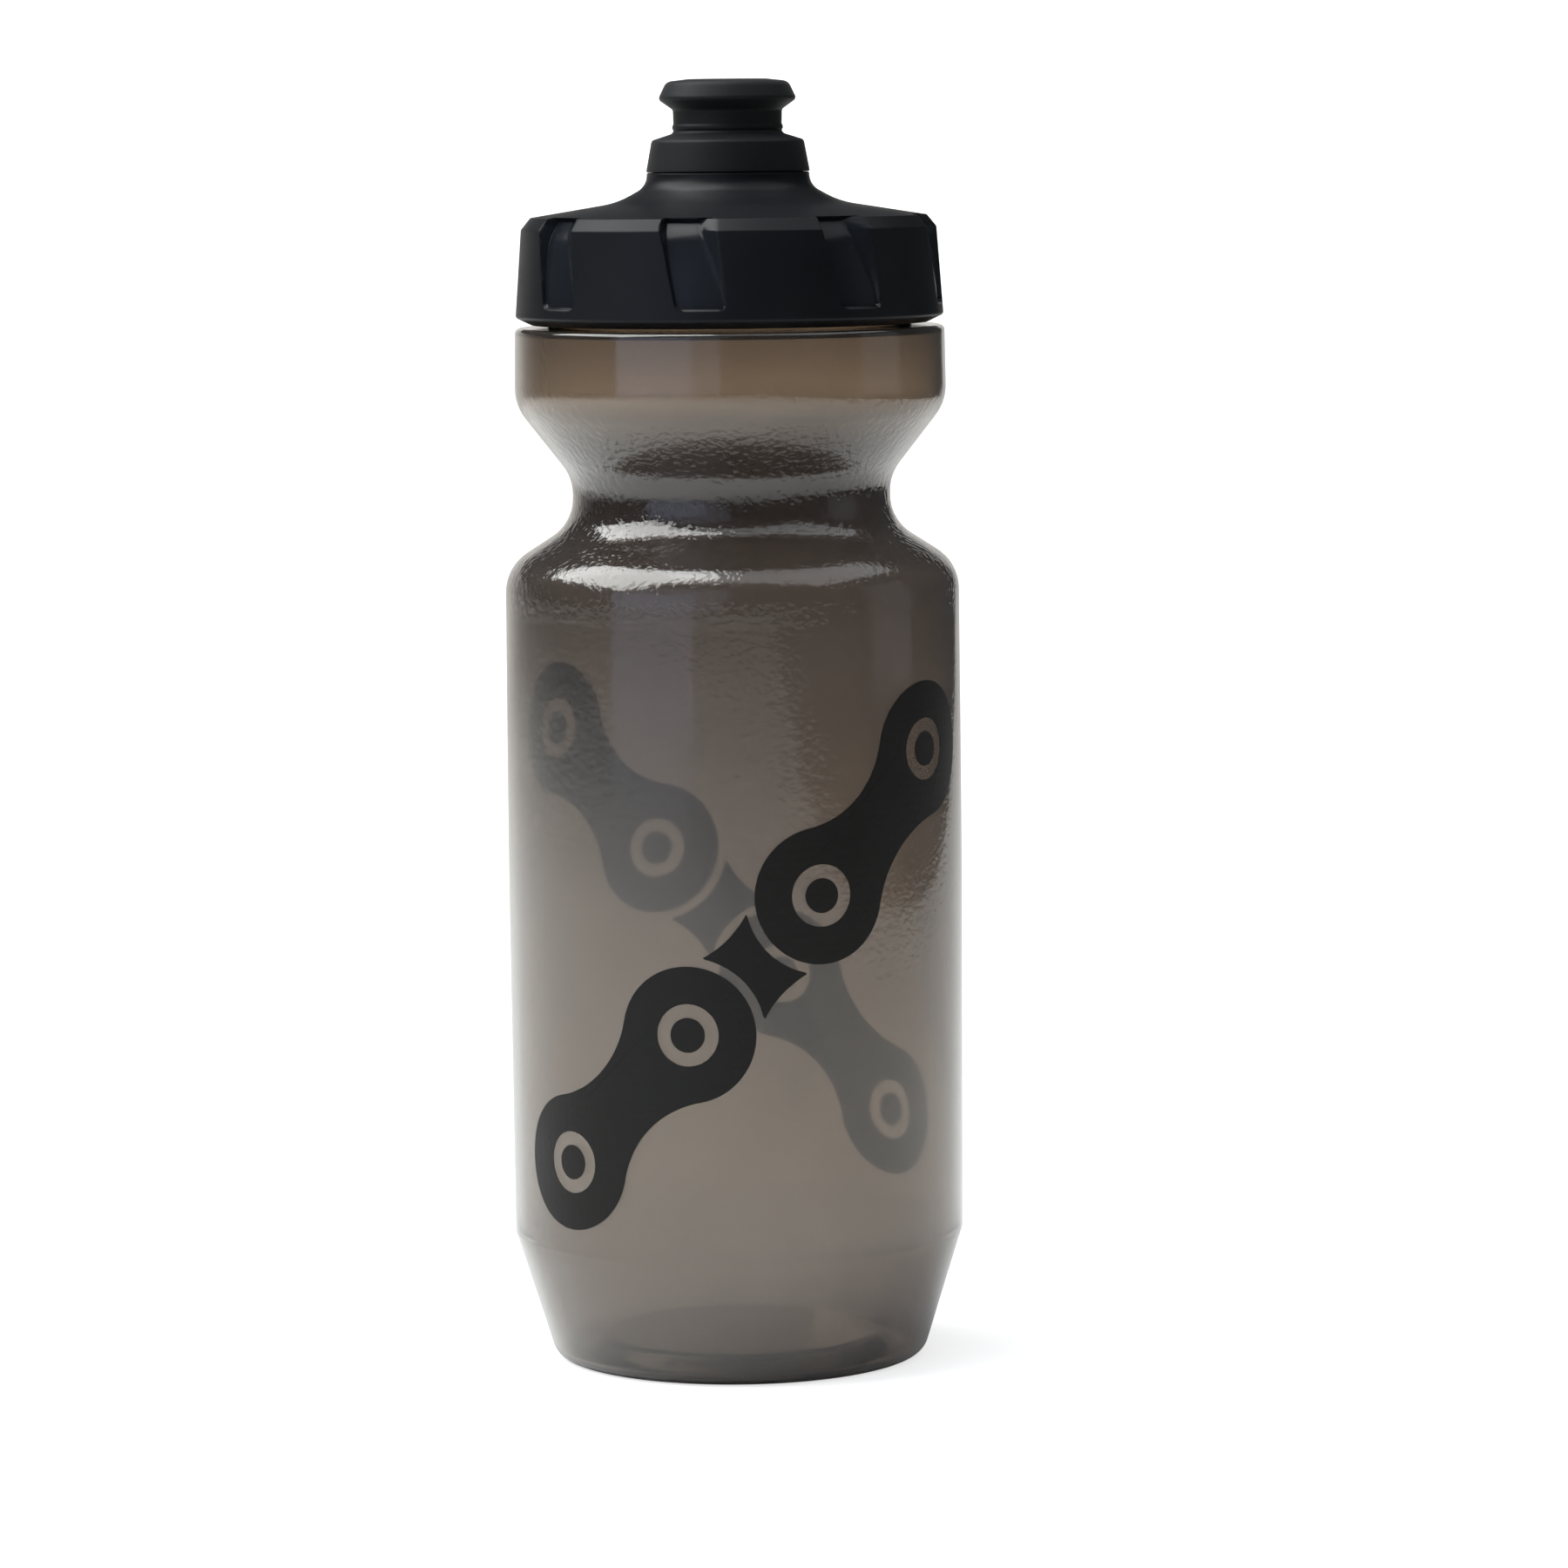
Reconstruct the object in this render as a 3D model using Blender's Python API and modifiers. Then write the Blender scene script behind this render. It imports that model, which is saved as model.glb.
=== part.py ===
"""A squeeze water bottle for a bicycle's bottle cage: a blown bottle, a screw cap and a push-pull nozzle.

Metres, +Z up. The origin is the centre of the ring that the bottle stands on. The grip side that is
called the front faces -Y. The cap is screwed down and the nozzle is pushed shut.
"""

import math

import bmesh
import bpy
from mathutils import Matrix

MM = 0.001
TURN = 2 * math.pi
GAP = 0.3 * MM  # between pieces that rest on each other
ARC_STEP = math.radians(28)
SHARP_ANGLE = math.radians(32)
MERGE = 0.01 * MM
BODY_STEPS = 40
NOZZLE_STEPS = 24

# Bottle: radii and heights of the outer side, from the base up.
WALL = 1.2 * MM
STANDING_RADIUS = 24.5 * MM
PUSH_UP_RADIUS = 22.0 * MM
PUSH_UP_HEIGHT = 2.6 * MM
PUSH_UP_CENTRE = 3.4 * MM
HEEL_RADIUS = 30.3 * MM
HEEL_FILLET = 3.0 * MM
TAPER_TOP = 21.0 * MM
TAPER_TOP_RADIUS = 36.9 * MM
BODY_RADIUS = 37.2 * MM
BODY_MIDDLE = 80.0 * MM
SHOULDER_RADIUS = 37.0 * MM
SHOULDER_HEIGHT = 130.3 * MM
SHOULDER_FILLET = 7.5 * MM
WAIST_RADIUS = 25.9 * MM
WAIST_LOW = 137.4 * MM
WAIST_HIGH = 144.8 * MM
WAIST_FILLET = 7.6 * MM
BAND_RADIUS = 35.15 * MM
BAND_LOW = 156.7 * MM
BAND_FILLET = 8.0 * MM
BAND_TOP_RADIUS = 34.95 * MM
BAND_TOP = 169.2 * MM
BAND_TOP_FILLET = 0.9 * MM

# Bottle's neck, and the thread that it shares with the cap.
NECK_RADIUS = 29.2 * MM
NECK_BORE = 27.4 * MM
NECK_TOP = 182.6 * MM
THREAD_LEAD = 6.0 * MM
THREAD_TURNS = 1.25
THREAD_START = 173.5 * MM
THREAD_HEIGHT = 1.2 * MM
THREAD_ROOT_WIDTH = 2.6 * MM
THREAD_CREST_WIDTH = 1.0 * MM
THREAD_SINK = 0.5 * MM  # how far a rib's root reaches into its wall
THREAD_RUN_OUT = 0.09  # the share of a rib over which it rises from its wall
THREAD_SLACK = 2.4 * MM  # from the neck's rib down to the cap's rib below it
THREAD_CLEARANCE = 0.5 * MM

# Cap: collar, roof and stem.
CAP_BOTTOM = 169.7 * MM
CAP_BOTTOM_RADIUS = 32.3 * MM
COLLAR_LOW = 170.9 * MM
COLLAR_LOW_RADIUS = 34.8 * MM
COLLAR_HIGH = 185.1 * MM
COLLAR_HIGH_RADIUS = 33.75 * MM
ROOF_HEIGHT = 187.0 * MM
ROOF_RADIUS = 32.2 * MM
CAP_MOUTH_RADIUS = 31.1 * MM
CAP_INNER_RADIUS = 30.8 * MM
ROOF_UNDERSIDE = 184.6 * MM
ROOF_THICKNESS = 2.1 * MM
SWEEP_RADIUS = 18.0 * MM
SWEEP_HEIGHT = 189.3 * MM
SWEEP_FILLET = 14.0 * MM
SEAT_RADIUS = 13.2 * MM
SEAT_HEIGHT = 194.1 * MM
FLARE_HEIGHT = 192.0 * MM
FLARE_FILLET = 3.0 * MM
STEM_RADIUS = 10.2 * MM
STEM_TOP = 197.2 * MM
STEM_BORE = 7.6 * MM
STEM_LEDGE = 194.9 * MM
GUIDE_BORE = 8.6 * MM
GUIDE_RADIUS = 10.4 * MM
GUIDE_TOP = 190.6 * MM
GUIDE_BOTTOM = 185.6 * MM
GASKET_SEAT = 27.0 * MM
GASKET_SEAT_TOP = 185.2 * MM

# Cap's grip recesses: eight leaning pockets, open at the top, deepest there.
RECESS_COUNT = 8
RECESS_PHASE = math.radians(-9.3)  # the middle of the recess nearest the front
RECESS_LEAN = 2.2 * MM  # how far the foot lies round from the head
RECESS_FOOT = 172.5 * MM
RECESS_HEAD = 186.0 * MM
RECESS_CUT_TOP = 189.0 * MM
RECESS_HEAD_WIDTH = 9.2 * MM
RECESS_FOOT_WIDTH = 8.3 * MM
RECESS_HEAD_FLOOR = 31.7 * MM
RECESS_FOOT_FLOOR = 33.9 * MM
RECESS_FILLET = 1.2 * MM
RECESS_CUT_RADIUS = 40.0 * MM

# Cap's plug: a post on three spokes, which shuts the nozzle from inside.
POST_RADIUS = 2.2 * MM
PLUG_RADIUS = 3.2 * MM
POST_TOP = 198.8 * MM
PLUG_LOW = 199.8 * MM
PLUG_HIGH = 201.4 * MM
PLUG_TIP = 202.2 * MM
PLUG_TIP_RADIUS = 1.8 * MM
SPOKE_COUNT = 3
SPOKE_WIDTH = 1.4 * MM
SPOKE_LOW = 185.9 * MM
SPOKE_HIGH = 187.2 * MM
SPOKE_REACH = 9.5 * MM

# Gasket under the cap's roof.
GASKET_INNER = 27.6 * MM
GASKET_OUTER = 30.3 * MM
GASKET_THICKNESS = 1.4 * MM

# Nozzle: hard core, and the soft cover that is moulded over it.
SKIRT_BOTTOM = 194.5 * MM
SKIRT_RADIUS = 13.3 * MM
SKIRT_TOP = 199.3 * MM
SKIRT_TOP_RADIUS = 12.35 * MM
NOZZLE_NECK_RADIUS = 8.85 * MM
NOZZLE_NECK_LOW = 200.4 * MM
NOZZLE_NECK_HIGH = 204.2 * MM
LIP_RADIUS = 11.25 * MM
LIP_HEIGHT = 205.8 * MM
CROWN_RADIUS = 9.9 * MM
CROWN_HEIGHT = 208.7 * MM
NOZZLE_TOP = 209.2 * MM
OUTLET_RADIUS = 5.9 * MM
SLEEVE_OUTER = 11.6 * MM
SLEEVE_INNER = 10.5 * MM
SLEEVE_BOTTOM = 194.9 * MM
SLEEVE_SHOULDER = 197.4 * MM
SLEEVE_TOP = 198.4 * MM
SLEEVE_TOP_RADIUS = 10.8 * MM
SLEEVE_CEILING = 197.5 * MM
CORE_NECK = 7.0 * MM
CORE_TOP = 207.4 * MM
FLANGE_RADIUS = 8.2 * MM
FLANGE_LOW = 205.3 * MM
FLANGE_HIGH = 206.3 * MM
TUBE_OUTER = 7.2 * MM
TUBE_INNER = 5.9 * MM
TUBE_BOTTOM = 187.6 * MM
BARB_RADIUS = 8.2 * MM
BARB_HEIGHT = 188.6 * MM
BARB_ROOT = 189.0 * MM
BARB_FOOT_RADIUS = 7.6 * MM
THROAT_RADIUS = 3.5 * MM
THROAT_FOOT = 198.6 * MM
THROAT_LOW = 199.8 * MM
THROAT_HIGH = 201.6 * MM
VALVE_BORE_FOOT = 203.0 * MM
VALVE_BORE = 4.4 * MM
VALVE_LEDGE = 204.9 * MM
VALVE_POCKET = 5.6 * MM

# Self-closing valve and the ring that holds it down.
VALVE_RADIUS = 5.3 * MM
VALVE_RIM_INNER = 4.0 * MM
VALVE_RIM_TOP = 206.0 * MM
VALVE_WEB = 0.6 * MM
VALVE_DISH_RADIUS = 3.5 * MM
VALVE_DISH_EDGE = 205.6 * MM
VALVE_DISH_DEPTH = 0.9 * MM
VALVE_DISH_RINGS = 4
SLIT_LENGTH = 5.4 * MM
SLIT_WIDTH = 0.3 * MM
RETAINER_TOP = 208.3 * MM
RETAINER_BORE = 4.0 * MM
RETAINER_MOUTH = 4.9 * MM

EDGE = 0.3 * MM
SOFT_EDGE = 0.6 * MM
ROUND_EDGE = 1.4 * MM


def clear_scene():
    for obj in list(bpy.data.objects):
        bpy.data.objects.remove(obj, do_unlink=True)


def new_collection(name):
    collection = bpy.data.collections.new(name)
    bpy.context.scene.collection.children.link(collection)
    return collection


def material(name, colour, roughness, metallic=0.0, alpha=1.0):
    made = bpy.data.materials.new(name)
    made.use_nodes = True
    shader = made.node_tree.nodes["Principled BSDF"]
    shader.inputs["Base Color"].default_value = (*colour, 1.0)
    shader.inputs["Roughness"].default_value = roughness
    shader.inputs["Metallic"].default_value = metallic
    shader.inputs["Alpha"].default_value = alpha
    return made


def toward(start, end):
    """The unit direction from one point of an outline to another, and their distance."""
    across, up = end[0] - start[0], end[1] - start[1]
    length = math.hypot(across, up)
    return across / length, up / length, length


def fillet(before, corner, after):
    """The points that round one corner (r, z, radius) with an arc that is tangent to both of its sides."""
    r, z, radius = corner
    if radius == 0:
        return [(r, z)]
    in_r, in_z, in_length = toward(corner, before)
    out_r, out_z, out_length = toward(corner, after)
    opening = math.acos(max(-1.0, min(1.0, in_r * out_r + in_z * out_z)))
    turned_by = math.pi - opening
    reach = radius * math.tan(turned_by / 2)
    if reach > min(in_length, out_length):
        raise ValueError(f"the fillet at {r / MM:.2f}, {z / MM:.2f} mm is too large")
    middle_r, middle_z, _ = toward((0, 0), (in_r + out_r, in_z + out_z))
    centre_reach = radius / math.sin(opening / 2)
    centre = (r + middle_r * centre_reach, z + middle_z * centre_reach)
    first = math.atan2(z + in_z * reach - centre[1], r + in_r * reach - centre[0])
    side = 1 if in_r * out_z - in_z * out_r < 0 else -1
    steps = max(1, round(turned_by / ARC_STEP))
    angles = [first + side * turned_by * i / steps for i in range(steps + 1)]
    return [(centre[0] + radius * math.cos(a), centre[1] + radius * math.sin(a)) for a in angles]


def rounded(corners, closed=True):
    """The points of an outline whose corners (r, z, radius) are each rounded by their radius."""
    points = []
    for i, corner in enumerate(corners):
        at_end = i in (0, len(corners) - 1)
        if at_end and not closed:
            points.append(corner[:2])
        else:
            points += fillet(corners[i - 1], corner, corners[(i + 1) % len(corners)])
    return points


def inset(corners, depth):
    """The corners of an outline moved inwards, to the right of its way down, by the same depth all along."""
    moved = []
    for before, corner, after in zip(corners, corners[1:], corners[2:]):
        a_r, a_z, _ = toward(before, corner)
        b_r, b_z, _ = toward(corner, after)
        normal_a, normal_b = (a_z, -a_r), (b_z, -b_r)
        share = depth / (1 + normal_a[0] * normal_b[0] + normal_a[1] * normal_b[1])
        bend = a_r * b_z - a_z * b_r
        radius = max(corner[2] + (depth if bend > 0 else -depth), 0.0) if corner[2] > 0 else 0.0
        moved.append(
            (
                corner[0] + share * (normal_a[0] + normal_b[0]),
                corner[1] + share * (normal_a[1] + normal_b[1]),
                radius,
            )
        )
    return moved


def turned(name, points, steps, height, collection, closed=True):
    """A turned solid about the Z axis, from an outline of (r, z) points that runs down its outer side."""
    count = len(points)
    edges = [(i, (i + 1) % count) for i in range(count if closed else count - 1)]
    mesh = bpy.data.meshes.new(name)
    mesh.from_pydata([(r, 0, z - height) for r, z in points], edges, [])
    obj = bpy.data.objects.new(name, mesh)
    obj.location.z = height
    collection.objects.link(obj)
    screw = obj.modifiers.new("turn", "SCREW")
    screw.angle = TURN
    screw.steps = steps
    screw.render_steps = steps
    screw.use_merge_vertices = True
    screw.merge_threshold = MERGE
    return obj


def from_bmesh(name, shape, collection):
    mesh = bpy.data.meshes.new(name)
    shape.to_mesh(mesh)
    shape.free()
    obj = bpy.data.objects.new(name, mesh)
    collection.objects.link(obj)
    return obj


def as_helper(obj):
    obj.hide_render = True
    obj.display_type = "WIRE"
    return obj


def combine(obj, helper, operation):
    boolean = obj.modifiers.new(helper.name, "BOOLEAN")
    boolean.operation = operation
    boolean.object = as_helper(helper)


def finish(obj, surface, parent):
    """Applies the modifiers, shades the round faces smooth, and hangs the piece on its parent."""
    graph = bpy.context.evaluated_depsgraph_get()
    mesh = bpy.data.meshes.new_from_object(obj.evaluated_get(graph), depsgraph=graph)
    obj.modifiers.clear()
    obj.data = mesh
    mesh.name = obj.name
    mesh.materials.clear()
    mesh.materials.append(surface)
    mesh.shade_smooth()
    mesh.set_sharp_from_angle(angle=SHARP_ANGLE)
    if parent:
        obj.parent = parent
        obj.location.z -= parent.matrix_world.translation.z


def joint_frame(name, height, parent, collection):
    """An empty on the bottle's axis that everything above a joint hangs on."""
    frame = bpy.data.objects.new(name, None)
    frame.location.z = height - (parent.matrix_world.translation.z if parent else 0)
    frame.parent = parent
    collection.objects.link(frame)
    bpy.context.view_layer.update()
    return frame


def thread_rib(name, surface, crest, start, collection):
    """A helical rib from the radius surface to the radius crest, which sinks into its wall at its ends."""
    side = 1 if crest > surface else -1
    root = surface - side * THREAD_SINK
    buried = surface - side * THREAD_SINK / 2
    count = round(BODY_STEPS * THREAD_TURNS)
    shape = bmesh.new()
    sections = []
    for i in range(count + 1):
        share = i / count
        angle = TURN * THREAD_TURNS * share
        middle = start + THREAD_LEAD * THREAD_TURNS * share
        rise = min(1.0, share / THREAD_RUN_OUT, (1 - share) / THREAD_RUN_OUT)
        top = buried + (crest - buried) * rise
        corners = (
            (root, -THREAD_ROOT_WIDTH / 2),
            (top, -THREAD_CREST_WIDTH / 2),
            (top, THREAD_CREST_WIDTH / 2),
            (root, THREAD_ROOT_WIDTH / 2),
        )
        sections.append(
            [shape.verts.new((r * math.cos(angle), r * math.sin(angle), middle + z)) for r, z in corners]
        )
    for low, high in zip(sections, sections[1:]):
        for i in range(len(low)):
            j = (i + 1) % len(low)
            shape.faces.new((low[i], low[j], high[j], high[i]))
    shape.faces.new(sections[0])
    shape.faces.new(sections[-1])
    bmesh.ops.recalc_face_normals(shape, faces=shape.faces)
    return from_bmesh(name, shape, collection)


def bottle_outside():
    """Corners of the bottle's outer side below its neck, from the band's top down to the base's centre."""
    return [
        (BAND_TOP_RADIUS, BAND_TOP, BAND_TOP_FILLET),
        (BAND_RADIUS, BAND_LOW, BAND_FILLET),
        (WAIST_RADIUS, WAIST_HIGH, WAIST_FILLET),
        (WAIST_RADIUS, WAIST_LOW, WAIST_FILLET),
        (SHOULDER_RADIUS, SHOULDER_HEIGHT, SHOULDER_FILLET),
        (BODY_RADIUS, BODY_MIDDLE, 0.0),
        (TAPER_TOP_RADIUS, TAPER_TOP, ROUND_EDGE),
        (HEEL_RADIUS, 0.0, HEEL_FILLET),
        (STANDING_RADIUS, 0.0, SOFT_EDGE),
        (PUSH_UP_RADIUS, PUSH_UP_HEIGHT, ROUND_EDGE),
        (0.0, PUSH_UP_CENTRE, 0.0),
    ]


def make_bottle_body(parts, helpers, surface):
    """One blown wall with a push-up base, and a thicker neck that carries the thread."""
    outside = bottle_outside()
    mirrored = (-PUSH_UP_RADIUS, PUSH_UP_HEIGHT, 0.0)
    lining = inset([(NECK_RADIUS, BAND_TOP, 0.0), *outside, mirrored], WALL)
    outline = [
        (0.0, PUSH_UP_CENTRE + WALL, 0.0),
        *reversed(lining[:-1]),
        (NECK_BORE, BAND_TOP - WALL, ROUND_EDGE),
        (NECK_BORE, NECK_TOP, SOFT_EDGE),
        (NECK_RADIUS, NECK_TOP, SOFT_EDGE),
        (NECK_RADIUS, BAND_TOP, SOFT_EDGE),
        *outside,
    ]
    points = rounded(outline, closed=False)
    body = turned("bottle_body", points, BODY_STEPS, 0.0, parts, closed=False)
    crest = NECK_RADIUS + THREAD_HEIGHT
    rib = thread_rib("neck_thread", NECK_RADIUS, crest, THREAD_START, helpers)
    combine(body, rib, "UNION")
    finish(body, surface, None)


def recess_cutter(index, helpers):
    """A leaning wedge, narrower at its foot, whose inner face runs outwards as it goes down."""

    def across(z, at_foot, at_head):
        share = (z - RECESS_FOOT) / (RECESS_HEAD - RECESS_FOOT)
        return at_foot + (at_head - at_foot) * share

    def edge(z, side):
        middle = across(z, RECESS_LEAN / 2, -RECESS_LEAN / 2)
        return middle + side * across(z, RECESS_FOOT_WIDTH, RECESS_HEAD_WIDTH) / 2

    outline = rounded(
        [
            (edge(RECESS_FOOT, -1), RECESS_FOOT, RECESS_FILLET),
            (edge(RECESS_FOOT, 1), RECESS_FOOT, RECESS_FILLET),
            (edge(RECESS_CUT_TOP, 1), RECESS_CUT_TOP, 0.0),
            (edge(RECESS_CUT_TOP, -1), RECESS_CUT_TOP, 0.0),
        ]
    )
    shape = bmesh.new()
    floor = [shape.verts.new((across(z, RECESS_FOOT_FLOOR, RECESS_HEAD_FLOOR), y, z)) for y, z in outline]
    outer = [shape.verts.new((RECESS_CUT_RADIUS, y, z)) for y, z in outline]
    shape.faces.new(floor)
    shape.faces.new(outer)
    for i in range(len(outline)):
        j = (i + 1) % len(outline)
        shape.faces.new((floor[i], floor[j], outer[j], outer[i]))
    bmesh.ops.recalc_face_normals(shape, faces=shape.faces)
    angle = RECESS_PHASE - TURN / 4 + TURN * index / RECESS_COUNT
    shape.transform(Matrix.Rotation(angle, 4, "Z"))
    return from_bmesh(f"recess_{index + 1}", shape, helpers)


def plug_post(helpers):
    """The post with the conical head that shuts the nozzle's throat."""
    outline = [
        (0.0, PLUG_TIP),
        (PLUG_TIP_RADIUS, PLUG_TIP),
        (PLUG_RADIUS, PLUG_HIGH),
        (PLUG_RADIUS, PLUG_LOW),
        (POST_RADIUS, POST_TOP),
        (POST_RADIUS, GUIDE_BOTTOM),
        (0.0, GUIDE_BOTTOM),
    ]
    return turned("plug_post", outline, NOZZLE_STEPS // 2, 0.0, helpers, closed=False)


def spoke(index, helpers):
    shape = bmesh.new()
    bmesh.ops.create_cube(shape, size=1.0)
    size = (SPOKE_REACH, SPOKE_WIDTH, SPOKE_HIGH - SPOKE_LOW)
    centre = (SPOKE_REACH / 2, 0.0, (SPOKE_HIGH + SPOKE_LOW) / 2)
    shape.transform(Matrix.Translation(centre) @ Matrix.Diagonal((*size, 1.0)))
    shape.transform(Matrix.Rotation(TURN * (index + 0.5) / SPOKE_COUNT, 4, "Z"))
    return from_bmesh(f"spoke_{index + 1}", shape, helpers)


def make_screw_cap(parts, helpers, surface, frame):
    """Collar, swept roof and stem in one turned moulding, with grip recesses, a thread and the plug."""
    outline = rounded(
        [
            (STEM_BORE, STEM_TOP, EDGE),
            (STEM_RADIUS, STEM_TOP, SOFT_EDGE),
            (STEM_RADIUS, SEAT_HEIGHT, 0.0),
            (SEAT_RADIUS, SEAT_HEIGHT, EDGE),
            (SEAT_RADIUS, FLARE_HEIGHT, FLARE_FILLET),
            (SWEEP_RADIUS, SWEEP_HEIGHT, SWEEP_FILLET),
            (ROOF_RADIUS, ROOF_HEIGHT, EDGE),
            (COLLAR_HIGH_RADIUS, COLLAR_HIGH, SOFT_EDGE),
            (COLLAR_LOW_RADIUS, COLLAR_LOW, SOFT_EDGE),
            (CAP_BOTTOM_RADIUS, CAP_BOTTOM, EDGE),
            (CAP_MOUTH_RADIUS, CAP_BOTTOM, 0.0),
            (CAP_INNER_RADIUS, ROOF_UNDERSIDE, SOFT_EDGE),
            (GASKET_SEAT, ROOF_UNDERSIDE, 0.0),
            (GASKET_SEAT, GASKET_SEAT_TOP, 0.0),
            (SWEEP_RADIUS, SWEEP_HEIGHT - ROOF_THICKNESS, 0.0),
            (GUIDE_RADIUS, GUIDE_TOP, ROUND_EDGE),
            (GUIDE_RADIUS, GUIDE_BOTTOM, 0.0),
            (GUIDE_BORE, GUIDE_BOTTOM, 0.0),
            (GUIDE_BORE, STEM_LEDGE, 0.0),
            (STEM_BORE, STEM_LEDGE + SOFT_EDGE, 0.0),
        ]
    )
    cap = turned("screw_cap", outline, BODY_STEPS, CAP_BOTTOM, parts)
    start = THREAD_START - THREAD_SLACK
    crest = NECK_RADIUS + THREAD_CLEARANCE
    combine(cap, thread_rib("cap_thread", CAP_INNER_RADIUS + GAP, crest, start, helpers), "UNION")
    combine(cap, plug_post(helpers), "UNION")
    for i in range(SPOKE_COUNT):
        combine(cap, spoke(i, helpers), "UNION")
    for i in range(RECESS_COUNT):
        combine(cap, recess_cutter(i, helpers), "DIFFERENCE")
    finish(cap, surface, frame)


def make_cap_gasket(parts, surface, frame):
    """The flat ring that the cap presses on the bottle's rim."""
    low = NECK_TOP + GAP
    high = low + GASKET_THICKNESS
    outline = [(GASKET_INNER, high), (GASKET_OUTER, high), (GASKET_OUTER, low), (GASKET_INNER, low)]
    finish(turned("cap_gasket", outline, BODY_STEPS, low, parts), surface, frame)


def make_nozzle_core(parts, surface, frame):
    """A sleeve outside the cap's stem and a barbed tube inside it, under one throat and valve pocket."""
    outline = rounded(
        [
            (VALVE_POCKET, CORE_TOP, 0.0),
            (CORE_NECK, CORE_TOP, EDGE),
            (CORE_NECK, FLANGE_HIGH, 0.0),
            (FLANGE_RADIUS, FLANGE_HIGH, EDGE),
            (FLANGE_RADIUS, FLANGE_LOW, EDGE),
            (CORE_NECK, FLANGE_LOW, 0.0),
            (CORE_NECK, SLEEVE_TOP, 0.0),
            (SLEEVE_TOP_RADIUS, SLEEVE_TOP, 0.0),
            (SLEEVE_OUTER, SLEEVE_SHOULDER, 0.0),
            (SLEEVE_OUTER, SLEEVE_BOTTOM, 0.0),
            (SLEEVE_INNER, SLEEVE_BOTTOM, 0.0),
            (SLEEVE_INNER, SLEEVE_CEILING, 0.0),
            (TUBE_OUTER, SLEEVE_CEILING, 0.0),
            (TUBE_OUTER, BARB_ROOT, 0.0),
            (BARB_RADIUS, BARB_HEIGHT, 0.0),
            (BARB_FOOT_RADIUS, TUBE_BOTTOM, 0.0),
            (TUBE_INNER, TUBE_BOTTOM, 0.0),
            (TUBE_INNER, THROAT_FOOT, 0.0),
            (THROAT_RADIUS, THROAT_LOW, 0.0),
            (THROAT_RADIUS, THROAT_HIGH, 0.0),
            (VALVE_BORE, VALVE_BORE_FOOT, 0.0),
            (VALVE_BORE, VALVE_LEDGE, 0.0),
            (VALVE_POCKET, VALVE_LEDGE, 0.0),
        ]
    )
    finish(turned("nozzle_core", outline, NOZZLE_STEPS, SKIRT_BOTTOM, parts), surface, frame)


def make_nozzle_cover(parts, surface, frame):
    """The soft skin that is moulded over the core: skirt, neck and lip outside, the core's shape inside."""
    outline = rounded(
        [
            (OUTLET_RADIUS, NOZZLE_TOP, EDGE),
            (CROWN_RADIUS, CROWN_HEIGHT, ROUND_EDGE),
            (LIP_RADIUS, LIP_HEIGHT, SOFT_EDGE),
            (NOZZLE_NECK_RADIUS, NOZZLE_NECK_HIGH, SOFT_EDGE),
            (NOZZLE_NECK_RADIUS, NOZZLE_NECK_LOW, ROUND_EDGE),
            (SKIRT_TOP_RADIUS, SKIRT_TOP, SOFT_EDGE),
            (SKIRT_RADIUS, SKIRT_BOTTOM, EDGE),
            (SLEEVE_OUTER + GAP, SKIRT_BOTTOM, 0.0),
            (SLEEVE_OUTER + GAP, SLEEVE_SHOULDER + GAP, 0.0),
            (SLEEVE_TOP_RADIUS + GAP, SLEEVE_TOP + GAP, 0.0),
            (CORE_NECK + GAP, SLEEVE_TOP + GAP, 0.0),
            (CORE_NECK + GAP, FLANGE_LOW - GAP, 0.0),
            (FLANGE_RADIUS + GAP, FLANGE_LOW - GAP, 0.0),
            (FLANGE_RADIUS + GAP, FLANGE_HIGH + GAP, 0.0),
            (CORE_NECK + GAP, FLANGE_HIGH + GAP, 0.0),
            (CORE_NECK + GAP, CORE_TOP + GAP, 0.0),
            (OUTLET_RADIUS, CORE_TOP + GAP, 0.0),
        ]
    )
    finish(turned("nozzle_cover", outline, NOZZLE_STEPS, SKIRT_BOTTOM, parts), surface, frame)


def make_flow_valve(parts, helpers, surface, frame):
    """A silicone disc whose thin dished middle is slit crosswise, so that it opens only under pressure."""
    low = VALVE_LEDGE + GAP
    dish = []
    for i in range(VALVE_DISH_RINGS + 1):
        share = i / VALVE_DISH_RINGS
        dish.append((VALVE_DISH_RADIUS * share, VALVE_DISH_EDGE - VALVE_DISH_DEPTH * (1 - share**2)))
    outline = [
        *dish,
        (VALVE_RIM_INNER, VALVE_RIM_TOP),
        (VALVE_RADIUS, VALVE_RIM_TOP),
        (VALVE_RADIUS, low),
        (VALVE_RIM_INNER, low),
        *((r, z - VALVE_WEB) for r, z in reversed(dish)),
    ]
    valve = turned("flow_valve", outline, NOZZLE_STEPS, low, parts, closed=False)
    for i in range(2):
        shape = bmesh.new()
        bmesh.ops.create_cube(shape, size=1.0)
        size = (SLIT_LENGTH, SLIT_WIDTH, 4 * VALVE_DISH_DEPTH)
        shape.transform(Matrix.Translation((0, 0, low)) @ Matrix.Diagonal((*size, 1.0)))
        shape.transform(Matrix.Rotation(TURN * (i / 4 + 1 / 8), 4, "Z"))
        combine(valve, from_bmesh(f"slit_{i + 1}", shape, helpers), "DIFFERENCE")
    finish(valve, surface, frame)


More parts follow.
